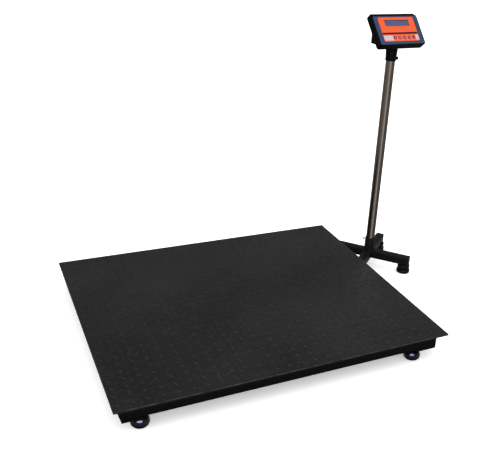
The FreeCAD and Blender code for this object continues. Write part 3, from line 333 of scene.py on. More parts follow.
LOOKS = {
    "deck": deck_paint(),
    "edge": painted_edge_highlight(),
    "frame": painted("frame_paint", linear(10, 10, 12), 0.55, specular=0.05).material,
    "stand": painted("stand_paint", linear(21, 20, 20), 0.42, grain=700, specular=0.06).material,
    "weld": painted("weld_paint", linear(20, 19, 19), 0.44, grain=260, specular=0.06).material,
    "zinc": metal("zinc_plate", linear(176, 176, 180), 0.32, depth=0.08).material,
    "alloy": metal("cell_alloy", linear(188, 188, 190), 0.34, brushing=(0.05, 1, 1), depth=0.06).material,
    "chrome": column_chrome(),
    "screw": metal("screw_chrome", linear(150, 150, 152), 0.22).material,
    "foot": foot_finish(),
    "rubber": moulded("pad_rubber", linear(20, 20, 21), 0.75, grain=1400, specular=0.1).material,
    "glide": moulded("glide_plastic", linear(9, 9, 11), 0.4, grain=2000, depth=0.15, specular=0.14).material,
    "cap": moulded("cap_plastic", linear(11, 11, 13), 0.46, specular=0.12).material,
    "bracket": moulded("bracket_plastic", linear(5, 4, 6), 0.48, specular=0.06).material,
    "case": moulded("case_plastic", linear(6, 5, 5), 0.5, grain=1900, depth=0.4, specular=0.06).material,
    "bezel": moulded("bezel_plastic", linear(46, 68, 100), 0.42, grain=2200, depth=0.25, specular=0.2,
                     mottle=0.1).material,
    "overlay": overlay_film("overlay_orange", linear(238, 88, 36)),
    "strip": overlay_film("overlay_pale", linear(200, 186, 196)),
    "band": overlay_film("overlay_salmon", linear(222, 112, 84)),
    "divider": moulded("divider_plastic", linear(34, 22, 46), 0.4, grain=2200, depth=0.2,
                       specular=0.15).material,
    "pane": glass_pane(),
    "display": overlay_film("display_glass", linear(99, 114, 154), 0.2),
    "segment": overlay_film("display_segment", linear(74, 88, 126), 0.2),
    "surround": moulded("display_surround", linear(96, 52, 60), 0.5).material,
    "key": moulded("key_cap", linear(112, 20, 34), 0.32, grain=2400, depth=0.15, mottle=0.1).material,
    "mark": overlay_film("key_mark", linear(226, 176, 170)),
    "board": board_green(),
    "box": moulded("box_plastic", linear(150, 152, 154), 0.5).material,
    "jacket": moulded("lead_jacket", linear(24, 24, 26), 0.55, grain=1600).material,
    "battery": moulded("battery_wrap", linear(40, 62, 150), 0.3, grain=1000, depth=0.1).material,
}


def repaint(look, *nodes):
    """Give CAD nodes that stay a finished material."""
    for node in nodes:
        shown = frame["nodes"][node]
        shown.data.materials.clear()
        shown.data.materials.append(LOOKS[look])


# ------------------------------------------------------------------ mesh tools

def piece(name, bm, look, body, replaced=(), sharp=32):
    """Turn a bmesh into a shown piece that rides on a body."""
    bmesh.ops.recalc_face_normals(bm, faces=bm.faces)
    mesh = bpy.data.meshes.new(name)
    bm.to_mesh(mesh)
    bm.free()
    mesh.polygons.foreach_set("use_smooth", [True] * len(mesh.polygons))
    mesh.set_sharp_from_angle(angle=math.radians(sharp))
    mesh.materials.append(LOOKS[look])
    made = bpy.data.objects.new(name, mesh)
    bpy.context.scene.collection.objects.link(made)
    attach(made, body)
    if replaced:
        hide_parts(*replaced)


def turns(count):
    """Equal angles round a full turn."""
    return [2 * math.pi * step / count for step in range(count)]


def add_loft(bm, rings, place=Matrix(), closed=False):
    """Quads between rings of points; the two ends are capped unless the loft closes on itself."""
    made = [[bm.verts.new(place @ Vector(point)) for point in ring] for ring in rings]
    count = len(made[0])
    spans = len(made) if closed else len(made) - 1
    for index in range(spans):
        first = made[index]
        second = made[(index + 1) % len(made)]
        for step in range(count):
            after = (step + 1) % count
            bm.faces.new((first[step], first[after], second[after], second[step]))
    if not closed:
        bm.faces.new(list(reversed(made[0])))
        bm.faces.new(made[-1])


def add_lathe(bm, profile, place=Matrix(), segments=72, closed=False):
    """Turn (radius, height) points about the Z axis; a radius of 0 becomes one point."""
    rings = []
    for radius, height in profile:
        if radius == 0:
            rings.append([bm.verts.new(place @ Vector((0, 0, height)))])
            continue
        ring = [Vector((radius * math.cos(angle), radius * math.sin(angle), height))
                for angle in turns(segments)]
        rings.append([bm.verts.new(place @ point) for point in ring])
    pairs = list(zip(rings, rings[1:]))
    if closed:
        pairs.append((rings[-1], rings[0]))
    for first, second in pairs:
        for step in range(segments):
            after = (step + 1) % segments
            if len(first) == 1:
                bm.faces.new((first[0], second[after], second[step]))
            elif len(second) == 1:
                bm.faces.new((first[step], first[after], second[0]))
            else:
                bm.faces.new((first[step], first[after], second[after], second[step]))


def soften(bm, size, segments=2, angle=30):
    """Bevel the sharp edges."""
    bm.normal_update()
    sharp = [edge for edge in bm.edges
             if len(edge.link_faces) == 2 and edge.calc_face_angle() > math.radians(angle)]
    bmesh.ops.bevel(bm, geom=sharp, offset=size, segments=segments, affect="EDGES", clamp_overlap=True)


def add_prism(bm, outline, low, high, place=Matrix()):
    """A prism over a flat outline, from one height to another."""
    add_loft(bm, [[(x, y, height) for x, y in outline] for height in (low, high)], place)


def bevelled_prism(outline, low, high, place, size, segments=2):
    bm = bmesh.new()
    add_prism(bm, outline, low, high, place)
    soften(bm, size, segments)
    return bm


def rounded(half_width, low, high, radius, steps=6):
    """Points of a rounded rectangle, anticlockwise."""
    points = []
    centres = (((half_width - radius), high - radius, 0), (-(half_width - radius), high - radius, 90),
               (-(half_width - radius), low + radius, 180), ((half_width - radius), low + radius, 270))
    for x, y, start in centres:
        for step in range(steps + 1):
            angle = math.radians(start + 90 * step / steps)
            points.append((x + radius * math.cos(angle), y + radius * math.sin(angle)))
    return points


def smooth_profile(points, steps=6):
    """A Catmull-Rom curve through the points of a turned profile."""
    padded = [points[0], *points, points[-1]]
    curve = []
    for before, start, end, after in zip(padded, padded[1:], padded[2:], padded[3:]):
        for step in range(steps):
            share = step / steps
            curve.append(tuple(
                0.5 * (2 * b + (c - a) * share + (2 * a - 5 * b + 4 * c - d) * share ** 2
                       + (3 * b - a - 3 * c + d) * share ** 3)
                for a, b, c, d in zip(before, start, end, after)))
    curve.append(points[-1])
    return curve


def add_bead(bm, path, radius, seed, sides=8):
    """A weld bead round a closed path: a thin tube whose thickness ripples."""
    pick = random.Random(seed)
    count = len(path)
    rings = []
    for index, point in enumerate(path):
        before = Vector(path[index - 1])
        after = Vector(path[(index + 1) % count])
        ahead = (after - before).normalized()
        side = ahead.cross(UP) if abs(ahead.z) < 0.9 else ahead.cross(Vector((1, 0, 0)))
        side.normalize()
        lift = side.cross(ahead)
        thick = radius * (1 + 0.16 * math.sin(index * 2.1) + pick.uniform(-0.06, 0.06))
        rings.append([Vector(point) + (side * math.cos(angle) + lift * math.sin(angle)) * thick
                      for angle in turns(sides)])
    add_loft(bm, rings, closed=True)


# ------------------------------------------------------------------ platform

LUG_LENGTH = 26 * MM
LUG_WIDTH = 8 * MM
LUG_HEIGHT = 1.5 * MM
LUG_PITCH_X = 47 * MM
LUG_PITCH_Y = 40.3 * MM
LUG_SHIFT_X = 5 * MM
LUG_MARGIN = 11 * MM
LUG_POINTS = 14
RAIL_SNIPE = 9 * MM
DECK_CORNER = 3 * MM
DECK_HALF = (DECK_HIGH.x - DECK_LOW.x) / 2


def deck_rings(sections):
    """Outlines of the deck plate at (inset, height) sections."""
    return [[(x, y, height) for x, y in
             rounded(DECK_HALF - inset, DECK_LOW.y + inset, DECK_HIGH.y - inset, DECK_CORNER, 4)]
            for inset, height in sections]


def add_lug(bm, x, y, turn):
    """One almond-shaped lug that rises from the plate to a rounded crown."""
    place = Matrix.Translation((x, y, DECK_HIGH.z)) @ Matrix.Rotation(turn, 4, "Z")
    rings = []
    for share, height in ((1.0, -0.2), (0.86, 0.42), (0.66, 0.8), (0.36, 1.0)):
        ring = []
        for angle in turns(LUG_POINTS):
            across = abs(math.sin(angle)) ** 1.25 * math.copysign(1, math.sin(angle))
            ring.append((LUG_LENGTH / 2 * share * math.cos(angle),
                         LUG_WIDTH / 2 * share * across, LUG_HEIGHT * height))
        rings.append(ring)
    add_loft(bm, rings, place)


def build_deck():
    plate = bmesh.new()
    place = Matrix.Translation((DECK_MIDDLE.x, 0, 0))
    edge = 0.9 * MM
    add_loft(plate, deck_rings((
        (edge, DECK_LOW.z), (0, DECK_LOW.z + edge), (0, DECK_HIGH.z - edge),
        (edge * 0.3, DECK_HIGH.z - edge * 0.3), (edge, DECK_HIGH.z))), place)
    piece("deck_sheet", plate, "deck", "platform", ["deck_plate"], sharp=12)

    # The arris ring carries the painted highlight along the plate's top edge.
    arris = bmesh.new()
    add_loft(arris, deck_rings((
        (-0.15 * MM, DECK_HIGH.z - 1.3 * MM), (0.15 * MM, DECK_HIGH.z - 0.3 * MM),
        (1.2 * MM, DECK_HIGH.z + 0.15 * MM), (1.6 * MM, DECK_HIGH.z - 0.5 * MM),
        (0.6 * MM, DECK_HIGH.z - 1.3 * MM))), place, closed=True)
    piece("deck_arris", arris, "edge", "platform")

    lugs = bmesh.new()
    columns = int((DECK_HIGH.x - DECK_LOW.x) / LUG_PITCH_X) + 2
    rows = int((DECK_HIGH.y - DECK_LOW.y) / LUG_PITCH_Y) + 2
    for column in range(-columns, columns):
        for row in range(-rows, rows):
            for step, turn in ((0, 45), (0.5, -45)):
                x = DECK_MIDDLE.x + LUG_SHIFT_X + (column + step) * LUG_PITCH_X
                y = (row + step) * LUG_PITCH_Y
                if abs(x - DECK_MIDDLE.x) < DECK_HALF - LUG_MARGIN and abs(y) < DECK_HIGH.y - LUG_MARGIN:
                    add_lug(lugs, x, y, math.radians(turn))
    piece("tread_lugs", lugs, "deck", "platform", sharp=60)


def build_rail(name, slanted_left=False, slanted_face=False):
    """A rounded tube over a CAD rail, along its longer side."""
    low, high = box_of(name)
    size = high - low
    middle = (low + high) / 2
    corner = 3.5 * MM
    bm = bmesh.new()
    lengthways = size.x > size.y
    width = size.y if lengthways else size.x
    outline = rounded(width / 2, low.z, high.z, corner, 5)
    ends = (low.x, high.x) if lengthways else (low.y, high.y)
    rings = []
    for index, end in enumerate(ends):
        ring = []
        for across, height in outline:
            share = (high.z - height) / size.z
            if lengthways:
                shift = RAIL_SNIPE * share if slanted_left and index == 0 else 0
                ring.append((end + shift, middle.y + across, height))
            else:
                shift = RAIL_SNIPE * share * (0.5 - across / width) if slanted_face else 0
                ring.append((middle.x + across + shift, end, height))
        rings.append(ring)
    add_loft(bm, rings)
    piece(f"{name}_tube", bm, "frame", "platform", [name])


def build_foot(corner):
    low, high = box_of(f"foot_cup_{corner}")
    middle = (low + high) / 2
    radius = (high.x - low.x) / 2
    height = high.z
    place = Matrix.Translation((middle.x, middle.y, 0))
    outer = smooth_profile([
        (radius * 0.86, low.z), (radius * 0.95, height * 0.12), (radius, height * 0.29),
        (radius * 0.965, height * 0.5), (radius * 0.83, height * 0.69), (radius * 0.6, height * 0.85),
        (radius * 0.38, height * 0.96), (radius * 0.24, height)])
    cup = bmesh.new()
    inner = [(radius * 0.21, height), (radius * 0.21, low.z + 9 * MM), (radius * 0.84, low.z + 3 * MM),
             (radius * 0.84, low.z)]
    add_lathe(cup, outer + inner, place, closed=True)
    piece(f"foot_dome_{corner}", cup, "foot", f"foot_{corner}", [f"foot_cup_{corner}"])
    repaint("rubber", f"foot_pad_{corner}")
    repaint("zinc", f"foot_stud_{corner}")


def build_platform():
    build_deck()
    build_rail("front_rail", slanted_left=True)
    build_rail("rear_rail", slanted_left=True)
    build_rail("left_rail", slanted_face=True)
    for name in ("right_rail", "deck_stiffener_left", "deck_stiffener_right"):
        build_rail(name)
    repaint("frame", "rail_end_plates", "cell_spacer_plates")
    repaint("alloy", "load_cells")
    repaint("zinc", "load_cell_bolts", "foot_lock_nuts", "junction_box_screws")
    repaint("box", "junction_box_base", "junction_box_lid")
    repaint("board", "summing_board")
    repaint("cap", "cable_glands")
    repaint("jacket", "load_cell_leads")
    for corner in CORNERS:
        build_foot(corner)


# ------------------------------------------------------------------ stand

ARM_LENGTH = 187 * MM
ARM_SECTION = 36 * MM
ARM_CORNER = 3.5 * MM
CAP_THICKNESS = 3 * MM


def arm_direction(corner):
    """The level direction from the cross's middle to one of its glides."""
    away = middle_of(f"stand_glide_{corner}") - COLUMN_MIDDLE
    away.z = 0
    return away.normalized()


def arm_place(direction):
    """A placement on the floor under the column whose X runs along an arm."""
    return axes(direction, UP.cross(direction), UP, Vector((COLUMN_MIDDLE.x, COLUMN_MIDDLE.y, 0)))


def add_square_tube(bm, direction, start, end):
    """A rounded square tube along a level direction, its ends measured from the column's axis."""
    top = COLUMN_LOW.z
    outline = rounded(ARM_SECTION / 2, top - ARM_SECTION, top, ARM_CORNER, 5)
    rings = [[(x, across, height) for across, height in outline] for x in (start, end)]
    add_loft(bm, rings, arm_place(direction))


def build_cross():
    tube_end = ARM_LENGTH - CAP_THICKNESS
    nodes = {"rear_left": "cross_long_tube", "rear_right": "cross_short_tube_right",
             "front_left": "cross_short_tube_left"}
    for corner, node in nodes.items():
        tube = bmesh.new()
        start = -tube_end if node == "cross_long_tube" else ARM_SECTION / 2
        add_square_tube(tube, arm_direction(corner), start, tube_end)
        piece(f"{node}_finished", tube, "stand", "stand", [node])

    caps = bmesh.new()
    for corner in CORNERS:
        top = COLUMN_LOW.z
        rings = []
        for inset, x in ((0, tube_end), (0, ARM_LENGTH - 1.4 * MM), (0.5 * MM, ARM_LENGTH - 0.4 * MM),
                         (1.6 * MM, ARM_LENGTH)):
            outline = rounded(ARM_SECTION / 2 - inset, top - ARM_SECTION + inset, top - inset, ARM_CORNER, 5)
            rings.append([(x, across, height) for across, height in outline])
        add_loft(caps, rings, arm_place(arm_direction(corner)))
    piece("end_plugs", caps, "cap", "stand", ["cross_end_caps"])

    welds = bmesh.new()
    for corner in ("rear_right", "front_left"):
        direction = arm_direction(corner)
        side = UP.cross(direction)
        top = COLUMN_LOW.z
        seam = Vector((COLUMN_MIDDLE.x, COLUMN_MIDDLE.y, 0)) + direction * (ARM_SECTION / 2 + 0.4 * MM)
        outline = rounded(ARM_SECTION / 2, top - ARM_SECTION, top, ARM_CORNER, 3)
        path = []
        for (x, z), (next_x, next_z) in zip(outline, outline[1:] + outline[:1]):
            gap = math.hypot(next_x - x, next_z - z)
            steps = max(1, int(gap / (2 * MM)))
            for step in range(steps):
                share = step / steps
                path.append(seam + side * (x + (next_x - x) * share) + UP * (z + (next_z - z) * share))
        add_bead(welds, path, 1.5 * MM, seed=3)
    socket_low, socket_high = box_of("column_socket")
    reach = (socket_high.x - socket_low.x) / 2 + 0.4 * MM
    ring = [(COLUMN_MIDDLE.x + reach * math.cos(angle), COLUMN_MIDDLE.y + reach * math.sin(angle),
             COLUMN_LOW.z + 0.5 * MM) for angle in turns(84)]
    add_bead(welds, ring, 1.7 * MM, seed=8)
    piece("weld_beads", welds, "weld", "stand", sharp=80)


def build_socket():
    low, high = box_of("column_socket")
    radius = (high.x - low.x) / 2
    bore = (COLUMN_HIGH.x - COLUMN_LOW.x) / 2 + 0.05 * MM
    edge = 0.8 * MM
    sleeve = bmesh.new()
    place = Matrix.Translation((COLUMN_MIDDLE.x, COLUMN_MIDDLE.y, 0))
    add_lathe(sleeve, [
        (bore, low.z), (radius, low.z), (radius, high.z - 9 * MM), (radius - 0.35 * MM, high.z - 8.4 * MM),
        (radius - 0.35 * MM, high.z - edge), (radius - edge * 0.6, high.z - edge * 0.2),
        (radius - edge * 1.4, high.z), (bore, high.z)], place, closed=True)
    piece("socket_sleeve", sleeve, "stand", "stand", ["column_socket"])

    tube = bmesh.new()
    outer = (COLUMN_HIGH.x - COLUMN_LOW.x) / 2
    inner = outer - 1.5 * MM
    rim = 0.4 * MM
    add_lathe(tube, [(inner, COLUMN_LOW.z), (outer - rim, COLUMN_LOW.z), (outer, COLUMN_LOW.z + rim),
                     (outer, COLUMN_HIGH.z - rim), (outer - rim, COLUMN_HIGH.z), (inner, COLUMN_HIGH.z)],
              place, segments=96, closed=True)
    piece("column_plated", tube, "chrome", "column", ["column_tube"])


def build_glide(corner):
    low, high = box_of(f"stand_glide_{corner}")
    middle = (low + high) / 2
    place = Matrix.Translation((middle.x, middle.y, 0))
    radius = 29 * MM
    upper = 26.5 * MM
    groove = 23.5 * MM
    height = COLUMN_LOW.z - ARM_SECTION
    stud = 5 * MM
    glide = bmesh.new()
    add_lathe(glide, [
        (0, 0), (radius - 2.4 * MM, 0), (radius - 0.8 * MM, 0.7 * MM), (radius, 2.4 * MM),
        (radius, height * 0.33), (radius - 0.7 * MM, height * 0.365), (radius - 2.2 * MM, height * 0.38),
        (groove + 0.8 * MM, height * 0.405), (groove, height * 0.43), (groove, height * 0.52),
        (groove + 0.7 * MM, height * 0.55), (upper - 1.2 * MM, height * 0.575), (upper, height * 0.61),
        (upper, height - 2.6 * MM), (upper - 0.8 * MM, height - 0.9 * MM), (upper - 2.4 * MM, height),
        (stud, height), (stud, high.z - 0.8 * MM), (stud - 0.8 * MM, high.z), (0, high.z)], place)
    piece(f"glide_turned_{corner}", glide, "glide", f"glide_{corner}",
          [f"stand_glide_{corner}"])


SHANK_END = 19.2 * MM
SHANK_RADIUS = 3 * MM


def build_wing_screw():
    """A plated wing screw: a domed hub, two flared wings and a shank into the sleeve."""
    axis = Vector(joints["wing_screw_turn"]["axis"]).normalized()
    height = joints["wing_screw_turn"]["pos_m"][2]
    place = axes(UP.cross(axis), UP, axis, Vector((COLUMN_MIDDLE.x, COLUMN_MIDDLE.y, height)))
    sleeve = 22.55 * MM
    start = sleeve + 1 * MM
    screw = bmesh.new()
    add_lathe(screw, [
        (0, SHANK_END), (SHANK_RADIUS, SHANK_END), (SHANK_RADIUS, start), (4.1 * MM, start),
        (4.5 * MM, start + 0.5 * MM),
        (4.5 * MM, start + 5 * MM), (3.6 * MM, start + 6.4 * MM), (1.8 * MM, start + 7 * MM),
        (0, start + 7 * MM)], place, segments=40)
    for side in (-1, 1):
        outline = [(2.5, 2.2), (4.6, 2.6), (6.9, 6.2), (7.5, 8.8), (6.6, 10.6), (5.2, 10.9), (3.9, 9.6),
                   (3.2, 6.9), (2.5, 6.0)]
        points = [(side * x * MM, start + (z - 1) * MM) for x, z in outline]
        wing = place @ Matrix.Rotation(math.radians(90), 4, "X")
        bm = bevelled_prism(points, -1.3 * MM, 1.3 * MM, wing, 0.5 * MM)
        mesh = bpy.data.meshes.new("wing")
        bm.to_mesh(mesh)
        bm.free()
        screw.from_mesh(mesh)
        bpy.data.meshes.remove(mesh)
    piece("wing_screw_plated", screw, "screw", "wing_screw", ["wing_screw"])


def build_stand():
    build_cross()
    build_socket()
    for corner in CORNERS:
        build_glide(corner)
    build_wing_screw()
    repaint("zinc", "glide_nuts")


# ------------------------------------------------------------------ head

def half_round(radius, centre, base, steps=20):
    """An upright tab: a half round on top of two straight sides."""
    points = [(-radius, base), (radius, base)]
    for step in range(steps + 1):
        angle = math.pi * step / steps
        points.append((radius * math.cos(angle), centre + radius * math.sin(angle)))
    return points


def sideways(place):
    """The placement turned so that a prism's own Z runs to the right."""
    return place @ Matrix(((0, 0, 1, 0), (1, 0, 0, 0), (0, 1, 0, 0), (0, 0, 0, 1)))


def build_bracket():
    bore = (COLUMN_HIGH.x - COLUMN_LOW.x) / 2 + 0.05 * MM
    bottom = 22 * MM
    top = 24 * MM
    height = 49 * MM
    depth = 38 * MM
    collar = bmesh.new()
    add_lathe(collar, [
        (0, depth), (bore, depth), (bore, 0), (bottom - 1.2 * MM, 0), (bottom - 0.2 * MM, 0.6 * MM),
        (bottom, 1.8 * MM), (bottom + 0.1 * MM, 13 * MM), (bottom - 0.4 * MM, 13.8 * MM),
        (bottom - 0.4 * MM, 14.8 * MM), (bottom + 0.3 * MM, 15.6 * MM), (top, height - 3.4 * MM),
        (top - 0.6 * MM, height - 1.4 * MM), (top - 2.6 * MM, height), (0, height)], BRACKET)
    tab = bevelled_prism(half_round(11 * MM, PIVOT_HEIGHT, height - 2 * MM), -16.7 * MM, 16.7 * MM,
                         sideways(BRACKET), 0.8 * MM)
    piece("bracket_collar", collar, "bracket", "head_bracket", ["head_bracket"])
    piece("bracket_knuckle", tab, "bracket", "head_bracket")
    boss = bmesh.new()
    knob_height = joints["clamp_knob_turn"]["pos_m"][2] - BRACKET_LOW.z
    side = BRACKET @ Matrix.Translation((0, 0, knob_height)) @ Matrix.Rotation(math.radians(90), 4, "Y")
    add_lathe(boss, [(3.05 * MM, 20 * MM), (6 * MM, 20 * MM), (5.6 * MM, 23.4 * MM), (5 * MM, 24 * MM),
                     (3.05 * MM, 24 * MM)], side, segments=40, closed=True)
    piece("knob_boss", boss, "bracket", "head_bracket")

    knob = bmesh.new()
    start = 24.5 * MM
    lobes = 8
    rings = []
    for share, x in ((0.82, start), (0.97, start + 0.8 * MM), (1.0, start + 2.4 * MM),
                     (1.0, start + 7.6 * MM), (0.95, start + 9.2 * MM), (0.8, start + 10 * MM)):
        ring = []
        for angle in turns(96):
            radius = (6.45 + 0.55 * math.cos(lobes * angle)) * MM * share
            ring.append((radius * math.cos(angle), radius * math.sin(angle), x))
        rings.append(ring)
    add_loft(knob, rings, side)
    add_lathe(knob, [(0, SHANK_END), (SHANK_RADIUS, SHANK_END), (SHANK_RADIUS, start + 0.5 * MM),
                     (0, start + 0.5 * MM)], side, segments=32)
    piece("knob_fluted", knob, "bracket", "clamp_knob", ["clamp_knob"])


def build_yoke():
    """Two rounded ears and the plate that carries the case."""
    reach = 31.5 * MM
    top = 11 * MM
    thickness = 5 * MM
    outline = []
    for step in range(21):
        angle = math.radians(-90 + 180 * step / 20)
        outline.append((top * math.cos(angle), top * math.sin(angle)))
    outline += [(-reach, top), (-reach, top - thickness)]
    for index, (low, high) in enumerate(((-24, -17), (17, 24))):
        ear = bevelled_prism(outline, low * MM, high * MM, sideways(PIVOT), 0.7 * MM)
        piece(f"yoke_ear_{index + 1}", ear, "bracket", "indicator",
              ["tilt_yoke"] if index == 0 else ())
    bar = [(-14 * MM, top - thickness), (-14 * MM, top), (-reach, top), (-reach, top - thickness)]
    plate = bevelled_prism(bar, -17 * MM, 17 * MM, sideways(PIVOT), 0.4 * MM)
    piece("yoke_plate", plate, "bracket", "indicator")
    repaint("zinc", "tilt_bolt")


CASE_HALF = 109.5 * MM
CASE_BOTTOM = -64.5 * MM
CASE_FACE_TOP = 64.5 * MM
CASE_TOP = 78 * MM
CASE_DEPTH = 34 * MM
CROWN_DROP = 11 * MM
CASE_CORNER = 9 * MM
WEDGE_DEPTH = 21.6 * MM
WEDGE_OFFSET = 21.6 * MM
OVERLAY_LOW = CASE_BOTTOM + BEZEL_BOTTOM
OVERLAY_HIGH = CASE_FACE_TOP - BEZEL_TOP


def face_ring(half, low, high, corner, depth):
    return [(x, y, depth) for x, y in rounded(half, low, high, corner, 8)]


def crown_at(depth):
    """The height of the case's sloping top edge at a depth behind the face."""
    return CASE_FACE_TOP + (CASE_TOP - CASE_FACE_TOP) * min(1, -depth / CROWN_DROP)


def build_front_case():
    bezel = bmesh.new()
    rings = []
    for inset, depth in ((0.35, -13.8), (0, -13.3), (0, -11), (0, -6), (0, -3.0), (0.25, -1.7), (0.85, -0.75),
                         (1.9, -0.15), (3.0, 0)):
        step = depth * MM
        rings.append(face_ring(CASE_HALF - inset * MM, CASE_BOTTOM + inset * MM,
                               crown_at(step) - inset * MM, CASE_CORNER - inset * MM * 0.6, step))
    gap = 0.2 * MM
    for outset, depth in ((1.5, 0), (0.75, -0.15), (0.2, -0.5), (0, -1.02), (-3, -1.02), (-3, -2.5)):
        grow = outset * MM + gap
        rings.append(face_ring(CASE_HALF - BEZEL_SIDE + grow, OVERLAY_LOW - grow, OVERLAY_HIGH + grow,
                               max(1.5 * MM, 5 * MM + grow), depth * MM))
    wall = 2.5 * MM
    for depth in (-2.5, -13.8):
        rings.append(face_ring(CASE_HALF - wall, CASE_BOTTOM + wall, CASE_FACE_TOP - wall, 6.5 * MM,
                               depth * MM))
    add_loft(bezel, rings, FACE, closed=True)
    piece("bezel_moulding", bezel, "case", "indicator", ["front_case"], sharp=40)

    fascia = bmesh.new()
    rings = []
    for inset, depth in ((3.2, -0.4), (3.2, 0.25), (3.5, 0.45), (4.2, 0.5)):
        rings.append(face_ring(CASE_HALF - inset * MM, CASE_BOTTOM + inset * MM, CASE_FACE_TOP - inset * MM,
                               CASE_CORNER - inset * MM * 0.6, depth * MM))
    for outset, depth in ((2.4, 0.5), (1.7, 0.4), (1.4, 0.1), (1.4, -0.4)):
        grow = outset * MM
        rings.append(face_ring(CASE_HALF - BEZEL_SIDE + grow, OVERLAY_LOW - grow, OVERLAY_HIGH + grow,
                               4 * MM + grow, depth * MM))
    add_loft(fascia, rings, FACE, closed=True)
    piece("bezel_fascia", fascia, "bezel", "indicator", sharp=40)


def build_rear_case():
    shell = bmesh.new()
    rings = []
    for inset, depth in ((2.5, -14.2), (0.35, -14.2), (0, -14.8), (0, -30.5), (0.4, -32.3), (1.6, -33.5),
                         (3.4, -34)):
        rings.append(face_ring(CASE_HALF - inset * MM, CASE_BOTTOM + inset * MM, CASE_TOP - inset * MM,
                               CASE_CORNER - inset * MM * 0.5, depth * MM))
    add_loft(shell, rings, FACE)
    piece("case_back", shell, "case", "indicator", ["rear_case"], sharp=40)

    tilt = math.asin(OUT.z)
    top = -WEDGE_OFFSET + WEDGE_DEPTH / math.tan(tilt)
    bottom = -WEDGE_OFFSET - WEDGE_DEPTH * math.tan(tilt)
    sink = 1 * MM
    outline = [(top, -CASE_DEPTH + sink), (top, -CASE_DEPTH), (-WEDGE_OFFSET, -CASE_DEPTH - WEDGE_DEPTH),
               (bottom, -CASE_DEPTH), (bottom, -CASE_DEPTH + sink)]
    wedge = bevelled_prism(outline, -CASE_HALF + 0.3 * MM, CASE_HALF - 0.3 * MM, sideways(FACE), 1.6 * MM, 3)
    piece("case_wedge", wedge, "case", "indicator")
    repaint("zinc", "case_screws", "rear_sockets")


KEY_COUNT = 5
KEY_FIRST = -31 * MM
KEY_PITCH = 22.5 * MM
KEY_RADIUS = 6.5 * MM
KEY_CELL_HALF = 7.4 * MM
PATCH_END = 83.5 * MM
PRINT_LOW = -0.1 * MM
PRINT_HIGH = 0.08 * MM


def key_edges(index):
    middle = KEY_FIRST + index * KEY_PITCH
    return middle - KEY_CELL_HALF, middle + KEY_CELL_HALF


def add_patch(bm, left, right, low, high):
    """A printed rectangle on the overlay."""
    add_prism(bm, [(left, low), (right, low), (right, high), (left, high)], PRINT_LOW, PRINT_HIGH, FACE)


def build_panel():
    repaint("overlay", "overlay_panel")
    repaint("pane", "display_window")
    repaint("display", "display_module")
    repaint("board", "main_board")
    repaint("battery", "battery_pack")
    half = CASE_HALF - BEZEL_SIDE - 1 * MM
    divider = bevelled_prism(rounded(half, -18 * MM, -10.8 * MM, 1 * MM, 3), -0.1 * MM, 0.6 * MM, FACE,
                             0.3 * MM, 1)
    piece("panel_divider", divider, "divider", "indicator")
    key_row = OVERLAY_LOW + 16 * MM
    low = key_row - 11.5 * MM
    high = key_row + 9.5 * MM
    keys_left = key_edges(0)[0] - 2.6 * MM
    keys_right = key_edges(KEY_COUNT - 1)[1] + 2.6 * MM
    pale = bmesh.new()
    for left, right in ((-PATCH_END, keys_left), (keys_right, PATCH_END)):
        add_patch(pale, left, right, low, high)
    piece("pale_patches", pale, "strip", "indicator")
    band = bmesh.new()
    edges = [keys_left] + [edge for index in range(KEY_COUNT) for edge in key_edges(index)] + [keys_right]
    for left, right in zip(edges[::2], edges[1::2]):
        add_patch(band, left, right, low, high)
    for index in range(KEY_COUNT):
        left, right = key_edges(index)
        for bottom, top in ((low, key_row - KEY_CELL_HALF), (key_row + KEY_CELL_HALF, high)):
            add_patch(band, left, right, bottom, top)
    piece("key_band", band, "band", "indicator")
    build_display()
    for index in range(KEY_COUNT):
        build_key(index, key_row)


SEGMENTS = {"a": (0, 1, False), "b": (1, 0.5, True), "c": (1, -0.5, True), "d": (0, -1, False),
            "e": (-1, -0.5, True), "f": (-1, 0.5, True), "g": (0, 0, False)}
WINDOW_DROP = 25.5 * MM
WINDOW_HALF_WIDTH = 57 * MM
WINDOW_HALF_HEIGHT = 12.5 * MM
DIGIT_COUNT = 6
DIGIT_PITCH = 17.6
DIGIT_SLANT = 0.1


def build_display():
    """Six unlit seven-segment digits on the display, in a thin dark surround."""
    window = OVERLAY_HIGH - WINDOW_DROP
    digits = bmesh.new()
    digit_width = 9 * MM
    digit_height = 16.5 * MM
    stroke = 1.9 * MM
    for index in range(DIGIT_COUNT):
        centre = (index - (DIGIT_COUNT - 1) / 2) * DIGIT_PITCH * MM
        for across, up, upright in SEGMENTS.values():
            length = digit_height / 2 - 0.5 * MM if upright else digit_width - 0.4 * MM
            half, thick = length / 2, stroke / 2
            outline = [(-half, 0), (thick - half, -thick), (half - thick, -thick), (half, 0),
                       (half - thick, thick), (thick - half, thick)]
            if upright:
                outline = [(-y, x) for x, y in outline]
            y_place = up * digit_height / 2
            x_place = centre + across * digit_width / 2 + y_place * DIGIT_SLANT
            placed = [(x + x_place, y + (window + y_place)) for x, y in outline]
            add_prism(digits, placed, -2.72 * MM, -2.6 * MM, FACE)
    piece("display_digits", digits, "segment", "indicator")
    surround = bmesh.new()
    rings = []
    for outset, depth in ((0.3, -0.3), (1.3, -0.3), (1.3, 0.12), (0.9, 0.2), (0.3, 0.2)):
        grow = outset * MM
        rings.append([(x, y, depth * MM) for x, y in
                      rounded(WINDOW_HALF_WIDTH + grow, window - WINDOW_HALF_HEIGHT - grow,
                              window + WINDOW_HALF_HEIGHT + grow, 1.2 * MM + grow, 4)])
    add_loft(surround, rings, FACE, closed=True)
    piece("display_surround", surround, "surround", "indicator")


